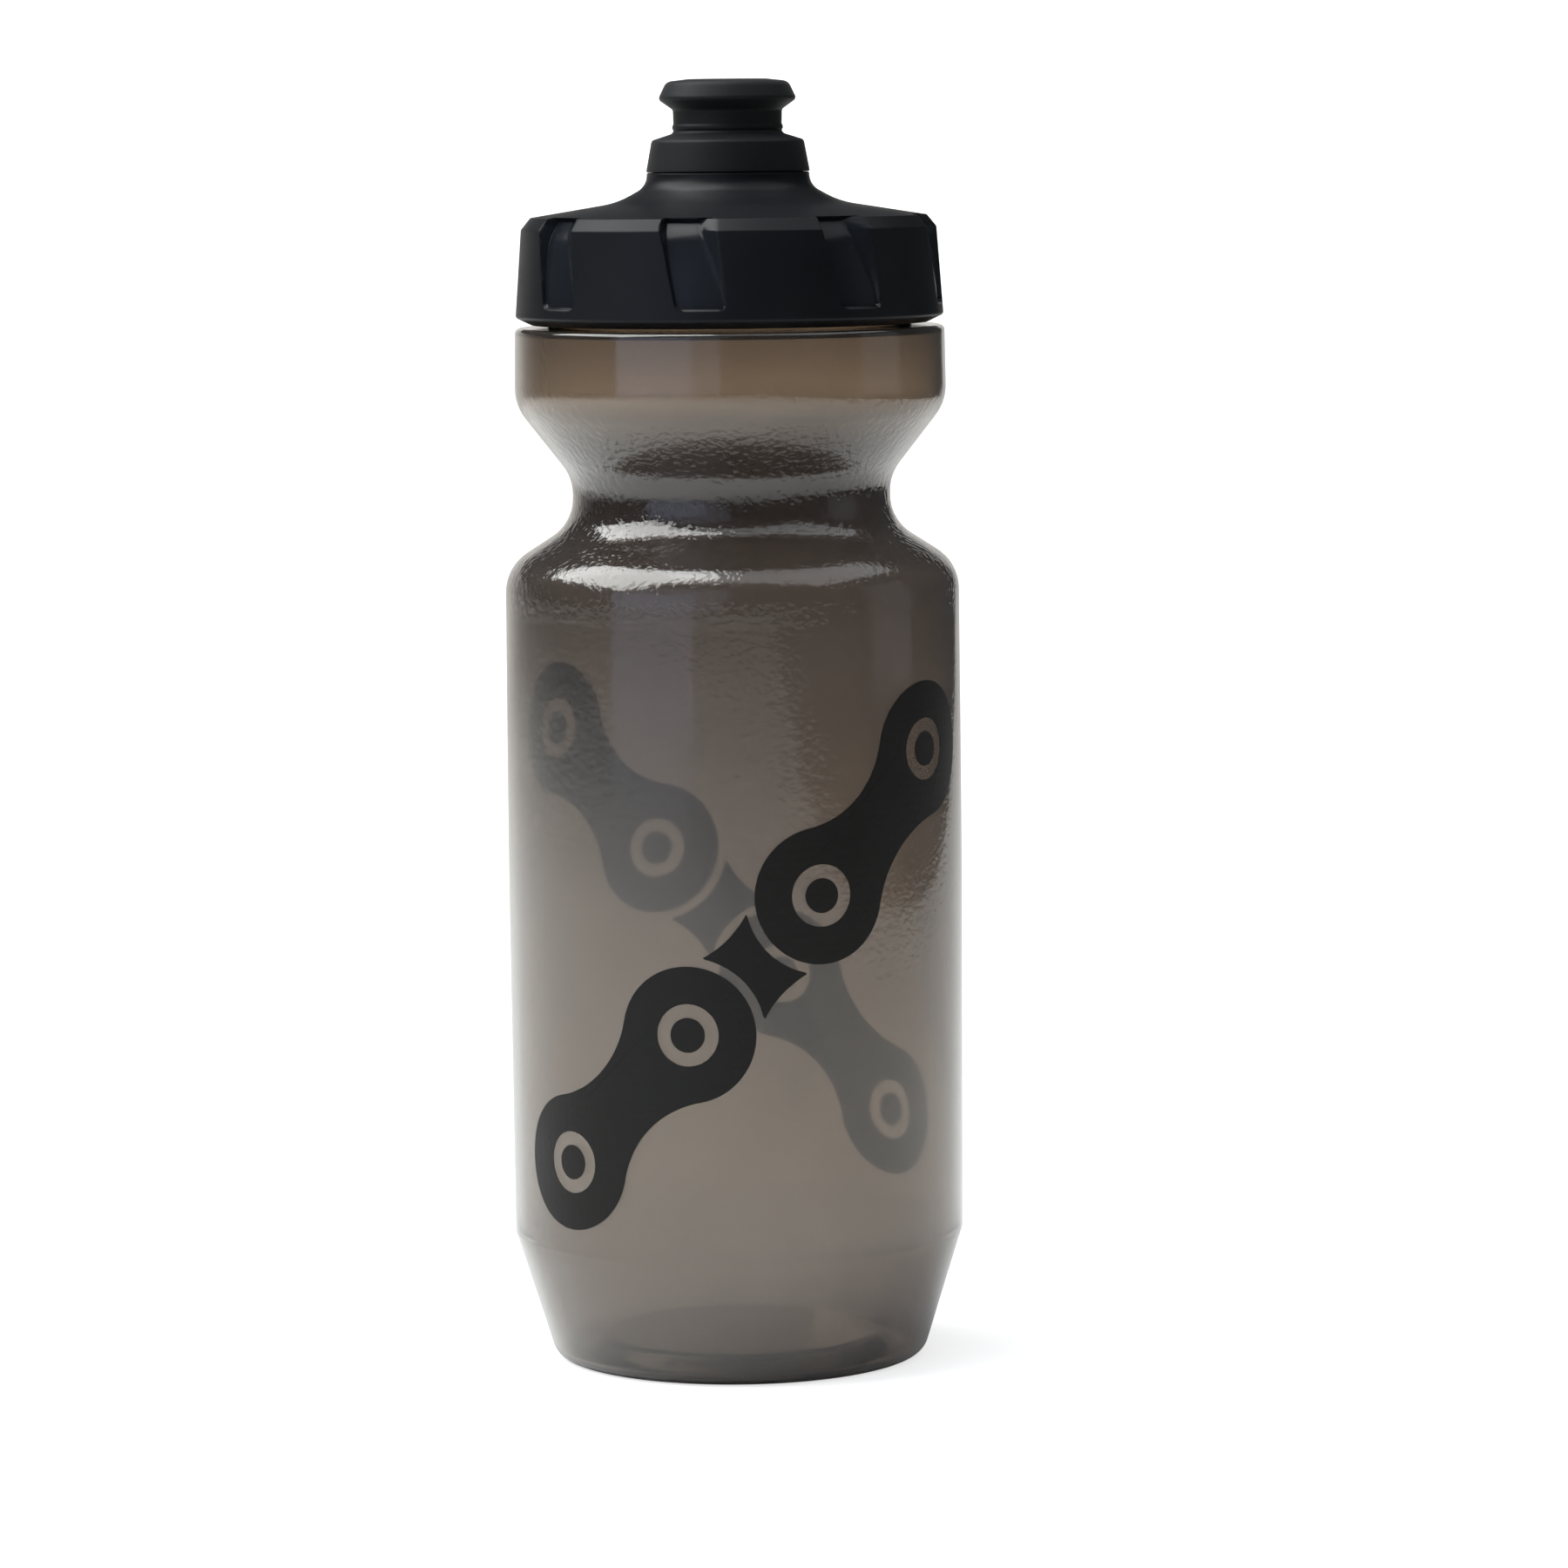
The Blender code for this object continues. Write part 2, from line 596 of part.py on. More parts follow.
def make_valve_retainer(parts, surface, frame):
    """The hard ring, pressed into the core's top, that holds the valve and widens towards the outlet."""
    low = VALVE_RIM_TOP + GAP
    outline = [
        (RETAINER_MOUTH, RETAINER_TOP),
        (VALVE_RADIUS, RETAINER_TOP),
        (VALVE_RADIUS, low),
        (RETAINER_BORE, low),
        (RETAINER_BORE, low + SOFT_EDGE),
    ]
    finish(turned("valve_retainer", outline, NOZZLE_STEPS, low, parts), surface, frame)


def main():
    clear_scene()
    parts = new_collection("squeeze_bottle")
    helpers = new_collection("cutters")
    smoke_ldpe = material("smoke LDPE", (0.20, 0.165, 0.135), 0.3, alpha=0.7)
    black_pp = material("black polypropylene", (0.013, 0.013, 0.016), 0.42)
    core_pp = material("grey polypropylene", (0.05, 0.05, 0.055), 0.4)
    soft_tpe = material("black soft rubber", (0.011, 0.011, 0.013), 0.62)
    silicone = material("silicone", (0.35, 0.35, 0.36), 0.35, alpha=0.8)
    gasket_rubber = material("gasket rubber", (0.03, 0.03, 0.03), 0.6)
    make_bottle_body(parts, helpers, smoke_ldpe)
    cap_frame = joint_frame("cap_axis", CAP_BOTTOM, None, parts)
    make_cap_gasket(parts, gasket_rubber, cap_frame)
    make_screw_cap(parts, helpers, black_pp, cap_frame)
    nozzle_frame = joint_frame("nozzle_axis", SKIRT_BOTTOM, cap_frame, parts)
    make_nozzle_core(parts, core_pp, nozzle_frame)
    make_nozzle_cover(parts, soft_tpe, nozzle_frame)
    make_flow_valve(parts, helpers, silicone, nozzle_frame)
    make_valve_retainer(parts, core_pp, nozzle_frame)


main()
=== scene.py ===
"""The looks of a squeeze water bottle for a bicycle cage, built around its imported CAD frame. Metres, +Z up."""

import math

import bmesh
import bpy
import numpy as np
from mathutils import Euler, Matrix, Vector


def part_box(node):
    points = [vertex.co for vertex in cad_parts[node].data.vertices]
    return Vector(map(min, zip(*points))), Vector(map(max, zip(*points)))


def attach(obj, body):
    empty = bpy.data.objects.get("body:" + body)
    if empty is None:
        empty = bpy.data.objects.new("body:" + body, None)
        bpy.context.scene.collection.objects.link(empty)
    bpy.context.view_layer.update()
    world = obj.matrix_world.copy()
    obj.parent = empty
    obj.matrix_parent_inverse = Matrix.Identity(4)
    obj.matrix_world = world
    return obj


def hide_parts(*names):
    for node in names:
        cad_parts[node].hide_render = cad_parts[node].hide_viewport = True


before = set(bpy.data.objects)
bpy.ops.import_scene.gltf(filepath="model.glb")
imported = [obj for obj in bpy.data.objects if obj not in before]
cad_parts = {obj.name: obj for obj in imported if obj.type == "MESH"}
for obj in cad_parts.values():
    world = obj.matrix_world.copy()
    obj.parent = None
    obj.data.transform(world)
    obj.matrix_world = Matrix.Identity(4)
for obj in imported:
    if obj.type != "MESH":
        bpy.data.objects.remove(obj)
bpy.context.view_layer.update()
MM = 0.001

# ---------------------------------------------------------------------------------------------------------
# The bottle: low-density polyethylene tinted smoke grey, blown in one piece inside a two-part mould.
# Its wall is thin and springy, thicker at the neck, which carries a right-hand thread for the cap.
# ---------------------------------------------------------------------------------------------------------

WALL = 1.2
BASE_CENTRE = 3.4
NECK_RADIUS = 29.2
NECK_BORE = 27.4
NECK_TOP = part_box("bottle_body")[1].z / MM
NECK_FOOT = 182.0
BAND_TOP = 169.2
LEDGE_MIDDLE = 32.0
BOTTLE_COLUMNS = 228
ARC_STEP = math.radians(7)
SHARP_EDGE = math.radians(50)
MERGE_WITHIN = 1e-7
THREAD_LEAD = 6.0
THREAD_TURNS = 1.25
THREAD_START = 173.5
THREAD_HEIGHT = 1.2
THREAD_ROOT_HALF = 1.3
THREAD_CREST_HALF = 0.5
THREAD_RUN_OUT = 0.09


def toward(start, end):
    """The unit direction from start to end."""
    step = np.subtract(end[:2], start[:2])
    return step / np.hypot(*step)


def filleted(corners, run, closed=False):
    """An outline (r, z) in mm through corners (r, z, radius): each corner becomes the arc of its radius that
    is tangent to both sides, centre at corner + radius / sin(half the opening) along the bisector, in steps
    of about ARC_STEP, and each straight stretch between arcs is divided into steps no longer than run."""
    count = len(corners)
    pieces = []
    for i, corner in enumerate(corners):
        here = np.array(corner[:2], float)
        radius = corner[2] if len(corner) > 2 else 0.0
        if radius == 0.0 or (not closed and i in (0, count - 1)):
            pieces.append(here[None])
            continue
        back = toward(corner, corners[i - 1])
        ahead = toward(corner, corners[(i + 1) % count])
        opening = math.acos(float(np.clip(back @ ahead, -1, 1)))
        turn = math.pi - opening
        bisector = (back + ahead) / np.hypot(*(back + ahead))
        centre = here + bisector * radius / math.sin(opening / 2)
        start = here + back * radius * math.tan(turn / 2) - centre
        side = 1 if back[0] * ahead[1] - back[1] * ahead[0] < 0 else -1
        share = np.linspace(0, 1, 2 + round(turn / ARC_STEP))
        angles = math.atan2(start[1], start[0]) + side * turn * share
        pieces.append(centre + radius * np.stack([np.cos(angles), np.sin(angles)], 1))
    filled = []
    for piece, following in zip(pieces, pieces[1:] + (pieces[:1] if closed else [])):
        filled.append(piece)
        length = np.hypot(*(following[0] - piece[-1]))
        between = np.linspace(0, 1, 1 + max(1, math.ceil(length / run)))[1:-1, None]
        filled.append(piece[-1] + between * (following[0] - piece[-1]))
    if not closed:
        filled.append(pieces[-1])
    return np.concatenate(filled)


def inset(corners, depth):
    """The corners of an outline moved square to its sides by depth, to the right of the way it runs; the
    fillets of its convex corners shrink by depth and those of its concave corners grow by it."""
    moved = []
    for before, corner, after in zip(corners, corners[1:], corners[2:]):
        a = toward(before, corner)
        b = toward(corner, after)
        normals = np.array([a[1] + b[1], -a[0] - b[0]])
        place = np.array(corner[:2]) + depth * normals / (1 + a @ b)
        radius = corner[2] if len(corner) > 2 else 0.0
        grows = 1 if a[0] * b[1] - a[1] * b[0] > 0 else -1
        moved.append((place[0], place[1], max(radius + grows * depth, 0.0) if radius else 0.0))
    return moved


def helix_rib(angle, height, start):
    """How far a thread's rib stands at an angle and a height, from 0 to 1: a trapezoid about the helix
    start + lead * turn, which rises from the wall over a share of its length at both ends."""
    stands = np.zeros(np.broadcast(angle, height).shape)
    for turn in range(math.ceil(THREAD_TURNS)):
        along = (np.mod(angle, math.tau) / math.tau + turn) / THREAD_TURNS
        away = np.abs(height - start - THREAD_LEAD * THREAD_TURNS * along)
        flank = (THREAD_ROOT_HALF - away) / (THREAD_ROOT_HALF - THREAD_CREST_HALF)
        ends = np.minimum(along, 1 - along) / THREAD_RUN_OUT
        stands = np.maximum(stands, np.clip(flank, 0, 1) * np.clip(ends, 0, 1))
    return stands


def round_grid(outline, angles, radii=None):
    """Points (rows, columns, 3) in metres of a surface turned about Z: radius and height follow the outline
    down the rows and the angle runs round the columns. radii may give each point a radius of its own."""
    radius = np.broadcast_to(outline[:, :1], (len(outline), angles.shape[-1])) if radii is None else radii
    height = np.broadcast_to(outline[:, 1:], radius.shape)
    return np.stack([radius * np.cos(angles), radius * np.sin(angles), height], 2) * MM


def skin(grid, wrap_rows=False, wrap_columns=True):
    """Vertices and quads of a grid of points. Down its rows and round its columns the faces look outwards."""
    rows, columns = grid.shape[:2]
    index = np.arange(rows * columns).reshape(rows, columns)
    low = np.concatenate([index, index[:1]]) if wrap_rows else index
    low = np.concatenate([low, low[:, :1]], 1) if wrap_columns else low
    quads = np.stack([low[:-1, :-1], low[1:, :-1], low[1:, 1:], low[:-1, 1:]], 2)
    return grid.reshape(-1, 3), quads.reshape(-1, 4)


def new_piece(name, parts):
    """One object from several (vertices, faces) pairs, its doubled points merged, such as a pole's, smooth
    except at edges that turn by more than SHARP_EDGE."""
    mesh = bpy.data.meshes.new(name)
    points, faces, start = [], [], 0
    for vertices, quads in parts:
        points.append(vertices)
        faces.append(quads + start)
        start += len(vertices)
    mesh.from_pydata(np.concatenate(points).tolist(), [], np.concatenate(faces).tolist())
    shape = bmesh.new()
    shape.from_mesh(mesh)
    bmesh.ops.remove_doubles(shape, verts=shape.verts, dist=MERGE_WITHIN)
    shape.to_mesh(mesh)
    shape.free()
    mesh.shade_smooth()
    mesh.set_sharp_from_angle(angle=SHARP_EDGE)
    obj = bpy.data.objects.new(name, mesh)
    bpy.context.scene.collection.objects.link(obj)
    return obj


def linear(hex_colour):
    """An sRGB colour written #rrggbb, as linear red, green and blue with an alpha of 1."""
    srgb = np.array([int(hex_colour[i : i + 2], 16) for i in (1, 3, 5)]) / 255
    rgb = np.where(srgb <= 0.04045, srgb / 12.92, ((srgb + 0.055) / 1.055) ** 2.4)
    return (*(float(c) for c in rgb), 1.0)


def new_material(name):
    """A material whose tree holds only its output."""
    made = bpy.data.materials.new(name)
    made.use_nodes = True
    made.node_tree.nodes.clear()
    return made, made.node_tree


def add(tree, kind, inputs=None, **settings):
    """Adds a node with its settings, and gives each input a value or links a socket to it."""
    made = tree.nodes.new(kind)
    for setting, value in settings.items():
        setattr(made, setting, value)
    for key, value in (inputs or {}).items():
        if isinstance(value, bpy.types.NodeSocket):
            tree.links.new(value, made.inputs[key])
        else:
            made.inputs[key].default_value = value
    return made


def bottle_corners():
    """Corners of the bottle's outside below its neck, from the band's top edge down to the base's centre."""
    return [
        (34.95, BAND_TOP, 0.9),
        (35.15, 156.7, 8.0),
        (25.9, 144.8, 7.6),
        (25.9, 137.4, 7.6),
        (37.0, 130.3, 7.5),
        (37.2, 80.0, 400.0),
        (36.9, 21.0, 1.2),
        (30.3, 0.0, 3.0),
        (24.5, 0.0, 0.6),
        (22.0, 2.6, 1.4),
        (0.0, BASE_CENTRE, 0.0),
    ]


def bottle_outlines():
    """The outline of the wall in three runs: the lining from the base's centre up to the rim, the rim and the
    outside of the neck, and the outside from the band down to the base's centre."""
    outside = bottle_corners()
    mirrored = (-22.0, 2.6, 0.0)
    lining = inset([(NECK_RADIUS, BAND_TOP), *outside, mirrored], WALL)
    inner = [
        (0.0, BASE_CENTRE + WALL),
        *reversed(lining[:-1]),
        (NECK_BORE, BAND_TOP - WALL, 1.4),
        (NECK_BORE, NECK_TOP - 0.6),
    ]
    rim = [
        (NECK_BORE, NECK_TOP - 0.6),
        (NECK_BORE, NECK_TOP, 0.55),
        (NECK_RADIUS, NECK_TOP, 0.55),
        (NECK_RADIUS, NECK_FOOT),
    ]
    neck = [(NECK_RADIUS, NECK_FOOT), (NECK_RADIUS, BAND_TOP, 0.6), (LEDGE_MIDDLE, BAND_TOP)]
    outer = [(LEDGE_MIDDLE, BAND_TOP), *outside]
    return (
        filleted(inner, 2.5),
        filleted(rim, 0.5)[1:],
        filleted(neck, 0.22)[1:],
        filleted(outer, 2.0)[1:],
    )


lining, rim, neck, bottle_outside = bottle_outlines()
bottle_angles = np.linspace(0, math.tau, BOTTLE_COLUMNS, endpoint=False)[None]
neck_radii = neck[:, :1] + THREAD_HEIGHT * helix_rib(bottle_angles, neck[:, 1:], THREAD_START)
bottle_outline = np.concatenate([lining, rim, neck, bottle_outside])
bottle_radii = np.concatenate(
    [
        np.broadcast_to(lining[:, :1], (len(lining), BOTTLE_COLUMNS)),
        np.broadcast_to(rim[:, :1], (len(rim), BOTTLE_COLUMNS)),
        neck_radii,
        np.broadcast_to(bottle_outside[:, :1], (len(bottle_outside), BOTTLE_COLUMNS)),
    ]
)
bottle = new_piece("bottle_wall", [skin(round_grid(bottle_outline, bottle_angles, bottle_radii))])
bottle_points = np.arange(len(bottle.data.vertices))
outside_start = len(bottle_points) - (len(bottle_outside) - 1) * BOTTLE_COLUMNS
mould_face = (bottle_points >= outside_start).astype(np.float32)
bottle.data.attributes.new("mould_face", "FLOAT", "POINT").data.foreach_set("value", mould_face)

TINT_TOP = 0.18
PEEL_FLAT = (0.16, 0.16, 0.16, 1.0)
PEEL_FULL = (1.0, 1.0, 1.0, 1.0)


def blown_ldpe():
    """Smoke-tinted LDPE, blow moulded. The blasted mould leaves pebbles on the outside, flat on the body and
    full about the waist, drawn at a millimetre, about twice their real size, so that they show. They break
    up reflections (the coat), while the wall follows them at an even thickness and so hardly bends what
    shows through (the base). The smoke colour is ramped by height with painted light and shade in it:
    lighter low on the body where the bright floor shows through, darker going up, darkest at the waist as
    painted shade, light on the band and darker at the neck. It deepens at the rim, where light goes through
    the wall at a slant."""
    made, tree = new_material("blow-moulded smoke LDPE")
    place = add(tree, "ShaderNodeTexCoord").outputs["Object"]
    height = add(tree, "ShaderNodeSeparateXYZ", {0: place}).outputs["Z"]
    share = add(tree, "ShaderNodeMapRange", {0: height, 1: 0.0, 2: TINT_TOP})
    # Painted light and shade by height: lighter low on the body, darkest at the waist, light on the band.
    tint_and_painted_shade = add(tree, "ShaderNodeValToRGB", {0: share.outputs[0]})
    stops = tint_and_painted_shade.color_ramp.elements
    stops[0].position, stops[0].color = 0.05, linear("#aea39b")
    stops[1].position, stops[1].color = 0.96, linear("#998c7e")
    for at, colour in (
        (0.2, "#b1a599"),
        (0.62, "#a79d95"),
        (0.72, "#988f88"),
        (0.775, "#716965"),
        (0.83, "#877e78"),
        (0.88, "#cdbdab"),
    ):
        stops.new(at).color = linear(colour)
    blotch = add(tree, "ShaderNodeTexNoise", {"Vector": place, "Scale": 45.0, "Detail": 3.0})
    shade = add(tree, "ShaderNodeMapRange", {0: blotch.outputs[0], 1: 0.3, 2: 0.7, 3: 0.96, 4: 1.04})
    facing = add(tree, "ShaderNodeLayerWeight", {"Blend": 0.5}).outputs["Facing"]
    slant = add(tree, "ShaderNodeMapRange", {0: facing, 1: 0.7, 2: 1.0, 3: 1.0, 4: 0.5})
    depth = add(tree, "ShaderNodeMath", {0: shade.outputs[0], 1: slant.outputs[0]}, operation="MULTIPLY")
    colour = add(tree, "ShaderNodeVectorMath", {0: tint_and_painted_shade.outputs[0], 1: depth.outputs[0]}, operation="MULTIPLY")
    touched = add(tree, "ShaderNodeAttribute", attribute_name="mould_face").outputs["Fac"]
    blasting = add(tree, "ShaderNodeValToRGB", {0: share.outputs[0]})
    coarse = blasting.color_ramp.elements
    coarse[0].position, coarse[0].color = 0.68, PEEL_FLAT
    coarse[1].position, coarse[1].color = 0.89, PEEL_FLAT
    for at in (0.71, 0.87):
        coarse.new(at).color = PEEL_FULL
    texture = add(tree, "ShaderNodeMath", {0: blasting.outputs[0], 1: touched}, operation="MULTIPLY")
    pebbles = add(
        tree,
        "ShaderNodeTexNoise",
        {"Vector": place, "Scale": 950.0, "Detail": 1.0, "Roughness": 0.5},
    )
    peel = add(tree, "ShaderNodeMath", {0: pebbles.outputs[0], 1: texture.outputs[0]}, operation="MULTIPLY")
    waves = add(tree, "ShaderNodeTexNoise", {"Vector": place, "Scale": 75.0, "Detail": 1.0})
    swell = add(tree, "ShaderNodeBump", {"Strength": 1.0, "Distance": 0.00003, "Height": waves.outputs[0]})
    shallow, skin_deep = (
        add(
            tree,
            "ShaderNodeBump",
            {"Strength": 1.0, "Distance": deep, "Height": peel.outputs[0], "Normal": swell.outputs[0]},
        )
        for deep in (0.000008, 0.00021)
    )
    shader = add(
        tree,
        "ShaderNodeBsdfPrincipled",
        {
            "Base Color": colour.outputs[0],
            "Roughness": 0.05,
            "Normal": shallow.outputs[0],
            "Transmission Weight": 0.93,
            "IOR": 1.51,
            "Specular IOR Level": 0.25,
            "Coat Weight": 1.0,
            "Coat Roughness": 0.1,
            "Coat IOR": 1.5,
            "Coat Normal": skin_deep.outputs[0],
        },
    )
    add(tree, "ShaderNodeOutputMaterial", {0: shader.outputs[0]})
    return made


bottle.data.materials.append(blown_ldpe())
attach(bottle, "bottle")
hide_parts("bottle_body")

# ---------------------------------------------------------------------------------------------------------
# The graphics: a generic run of roller chain climbing across the front, and the same on the back, which
# shows through both walls. Black ink, screen printed on the finished bottle in a film far under 0.1 mm.
# ---------------------------------------------------------------------------------------------------------

PRINT_PITCH = 31.0
PRINT_LOBE = 11.0
PRINT_WAIST = 6.2
PRINT_GAP = 1.5
PRINT_HOLE = 5.0
PRINT_PIN = 2.8
PRINT_PINS = 4
PRINT_MIDDLE = (3.0, 69.0)
PRINT_FIELD = (22.0, 126.0)
PRINT_SLOPE = math.radians(45)
PRINT_STEP = 1.5
PRINT_ARC_STEP = 0.4
PRINT_REACH = 120
INK_LIFT = 0.03
INK_FILM = 0.05


def circle(centre, radius, start=0.0, end=math.tau):
    """Points along an arc about a place on the chain's middle line."""
    angles = np.linspace(start, end, max(8, round(abs(end - start) * radius / PRINT_ARC_STEP)))
    return np.stack([centre + radius * np.cos(angles), radius * np.sin(angles)], 1)


def link_plate(low, high):
    """The outline of a link plate about two pins on the middle line: a round lobe at each pin, joined on
    each side by a hollow arc that is tangent to both lobes and leaves the plate twice PRINT_WAIST wide at
    its middle."""
    half = (high - low) / 2
    hollow = (half**2 + PRINT_WAIST**2 - PRINT_LOBE**2) / (2 * (PRINT_LOBE - PRINT_WAIST))
    meet = math.atan2(PRINT_WAIST + hollow, half)
    right = circle(high, PRINT_LOBE, -(math.pi - meet), math.pi - meet)
    centre = np.array([(low + high) / 2, PRINT_WAIST + hollow])
    upper = circle(0.0, hollow, -meet, -(math.pi - meet)) + centre
    left = circle(low, PRINT_LOBE, meet, math.tau - meet)
    lower = upper[::-1] * (1, -1)
    return np.concatenate([right[:-1], upper[:-1], left[:-1], lower[:-1]])


def waist_between(low, high):
    """The part of an inner plate that shows between two outer plates: its hollow sides, ended by an arc
    PRINT_GAP clear of the lobe at each pin."""
    plate = link_plate(low, high)
    clear = PRINT_LOBE + PRINT_GAP
    shown = np.hypot(plate[:, 0] - low, plate[:, 1]) > clear
    shown &= np.hypot(plate[:, 0] - high, plate[:, 1]) > clear
    upper, lower = plate[shown & (plate[:, 1] > 0)], plate[shown & (plate[:, 1] < 0)]
    reach = math.asin(upper[-1, 1] / clear)
    left = circle(low, clear, reach, -reach)
    right = circle(high, clear, math.pi + reach, math.pi - reach)
    return np.concatenate([upper, left[1:-1], lower, right[1:-1]])


def chain_outlines():
    """The closed outlines of the printed chain along a level middle line from its first pin: an outer plate
    on each pair of pins, the inner plate's waist between them, and a ring of bare wall round each pin's
    head."""
    pins = PRINT_PITCH * np.arange(PRINT_PINS)
    outlines = [link_plate(pins[i], pins[i + 1]) for i in range(0, PRINT_PINS, 2)]
    outlines += [waist_between(pins[i], pins[i + 1]) for i in range(1, PRINT_PINS - 1, 2)]
    outlines += [circle(pin, radius)[:-1] for pin in pins for radius in (PRINT_HOLE, PRINT_PIN)]
    return outlines


def flat_print(name, outlines):
    """A flat mesh inside the outlines, where each outline inside another turns ink to bare wall and back."""
    curve = bpy.data.curves.new(name, "CURVE")
    curve.dimensions = "2D"
    curve.fill_mode = "BOTH"
    for outline in outlines:
        spline = curve.splines.new("POLY")
        spline.points.add(len(outline) - 1)
        spline.points.foreach_set("co", np.pad(outline, ((0, 0), (0, 2))).astype(np.float32).ravel())
        spline.use_cyclic_u = True
    holder = bpy.data.objects.new(name, curve)
    bpy.context.scene.collection.objects.link(holder)
    bpy.context.view_layer.update()
    graph = bpy.context.evaluated_depsgraph_get()
    mesh = bpy.data.meshes.new_from_object(holder.evaluated_get(graph), depsgraph=graph)
    bpy.data.objects.remove(holder)
    return mesh


def wrap_print(name, about):
    """The chain's outlines, turned to PRINT_SLOPE and set about PRINT_MIDDLE, cut every PRINT_STEP both ways
    and rolled round the bottle: across becomes the angle across / radius from the side that faces about."""
    mesh = flat_print(name, chain_outlines())
    shape = bmesh.new()
    shape.from_mesh(mesh)
    bmesh.ops.remove_doubles(shape, verts=shape.verts, dist=0.001)
    middle = PRINT_PITCH * (PRINT_PINS - 1) / 2
    cosine, sine = math.cos(PRINT_SLOPE), math.sin(PRINT_SLOPE)
    for normal in (Vector((cosine, -sine, 0)), Vector((sine, cosine, 0))):
        for cut in np.arange(-PRINT_REACH, PRINT_REACH, PRINT_STEP):
            bmesh.ops.bisect_plane(
                shape,
                geom=[*shape.verts, *shape.edges, *shape.faces],
                plane_co=Vector((middle, 0, 0)) + normal * float(cut),
                plane_no=normal,
            )
    shape.to_mesh(mesh)
    shape.free()
    flat = np.empty(len(mesh.vertices) * 3, np.float32)
    mesh.vertices.foreach_get("co", flat)
    along, side, _ = flat.reshape(-1, 3).astype(float).T
    along = along - middle
    across = PRINT_MIDDLE[0] + along * cosine - side * sine
    height = PRINT_MIDDLE[1] + along * sine + side * cosine
    low, high = PRINT_FIELD
    walls = bottle_outside[(bottle_outside[:, 1] > low) & (bottle_outside[:, 1] < high)][::-1]
    radius = np.interp(height, walls[:, 1], walls[:, 0]) + INK_LIFT
    angle = about + across / radius.mean()
    place = np.stack([radius * np.cos(angle), radius * np.sin(angle), height], 1) * MM
    mesh.vertices.foreach_set("co", place.astype(np.float32).ravel())
    mesh.update()
    obj = bpy.data.objects.new(name, mesh)
    bpy.context.scene.collection.objects.link(obj)
    shape = bmesh.new()
    shape.from_mesh(mesh)
    bmesh.ops.recalc_face_normals(shape, faces=shape.faces)
    face = max(shape.faces, key=lambda f: f.calc_area())
    if face.normal.xy.dot(face.calc_center_median().xy) < 0:
        bmesh.ops.reverse_faces(shape, faces=shape.faces)
    shape.to_mesh(mesh)
    shape.free()
    film = obj.modifiers.new("film", "SOLIDIFY")
    film.thickness = INK_FILM * MM
    film.offset = 1.0
    return obj


def screen_ink():
    """Black screen ink: opaque, satin, and laid so thin that it keeps the mould texture of the wall below."""
    made, tree = new_material("screen-printed black ink")
    place = add(tree, "ShaderNodeTexCoord").outputs["Object"]
    peel = add(
        tree,
        "ShaderNodeTexNoise",
        {"Vector": place, "Scale": 1100.0, "Detail": 2.0, "Roughness": 0.55},
    )
    grain = add(tree, "ShaderNodeBump", {"Strength": 1.0, "Distance": 0.00002, "Height": peel.outputs[0]})
    cloud = add(tree, "ShaderNodeTexNoise", {"Vector": place, "Scale": 120.0, "Detail": 4.0})
    colour = add(tree, "ShaderNodeValToRGB", {0: cloud.outputs[0]})
    colour.color_ramp.elements[0].color = linear("#0d0b0a")
    colour.color_ramp.elements[1].color = linear("#151210")
    rough = add(tree, "ShaderNodeMapRange", {0: cloud.outputs[0], 3: 0.3, 4: 0.42})
    shader = add(
        tree,
        "ShaderNodeBsdfPrincipled",
        {
            "Base Color": colour.outputs[0],
            "Roughness": rough.outputs[0],
            "Normal": grain.outputs[0],
            "IOR": 1.48,
            "Specular IOR Level": 0.35,
        },
    )
    add(tree, "ShaderNodeOutputMaterial", {0: shader.outputs[0]})
    return made


ink = screen_ink()
for print_name, facing in (("front_print", -math.pi / 2), ("back_print", math.pi / 2)):
    printed = wrap_print(print_name, facing)
    printed.data.materials.append(ink)
    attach(printed, "bottle")

# ---------------------------------------------------------------------------------------------------------
# The screw cap: polypropylene, injection moulded with its thread, stem and eight leaning grip pockets in one
# shot. The collar has the satin of a fine spark finish; the pockets' floors come off polished steel inserts.
# ---------------------------------------------------------------------------------------------------------

POCKETS = 8
POCKET_PHASE = math.radians(-90 - 9.3)
POCKET_RADIUS = 33.3
POCKET_FOOT = 172.5
POCKET_HEAD = 186.0
POCKET_LEAN = 2.2
POCKET_WIDTHS = (8.3, 9.2)
POCKET_FLOORS = (33.9, 31.5)
POCKET_SCOOP = 1.8
POCKET_CORNER = 1.3
POCKET_STEEP = 6.5
POCKET_DRAFT = 0.3
POCKET_FACET = 3.0
POCKET_EASE = 0.12
POCKET_FULL = 0.5
POCKET_CLEAR = 1.0
POCKET_FACET_RISE = 1.5
POCKET_ROUND = 1.5
POCKET_ROUND_RISE = (182.5, 187.0)
CAP_THREAD_START = THREAD_START - 2.4
CAP_THREAD_CREST = 29.7
CAP_WALL_FROM = 30.0
CAP_FOOT = (31.1, 169.7)
CAP_SEAT = (27.0, 184.6)
ROOF_BREAK = (31.0, 187.194)


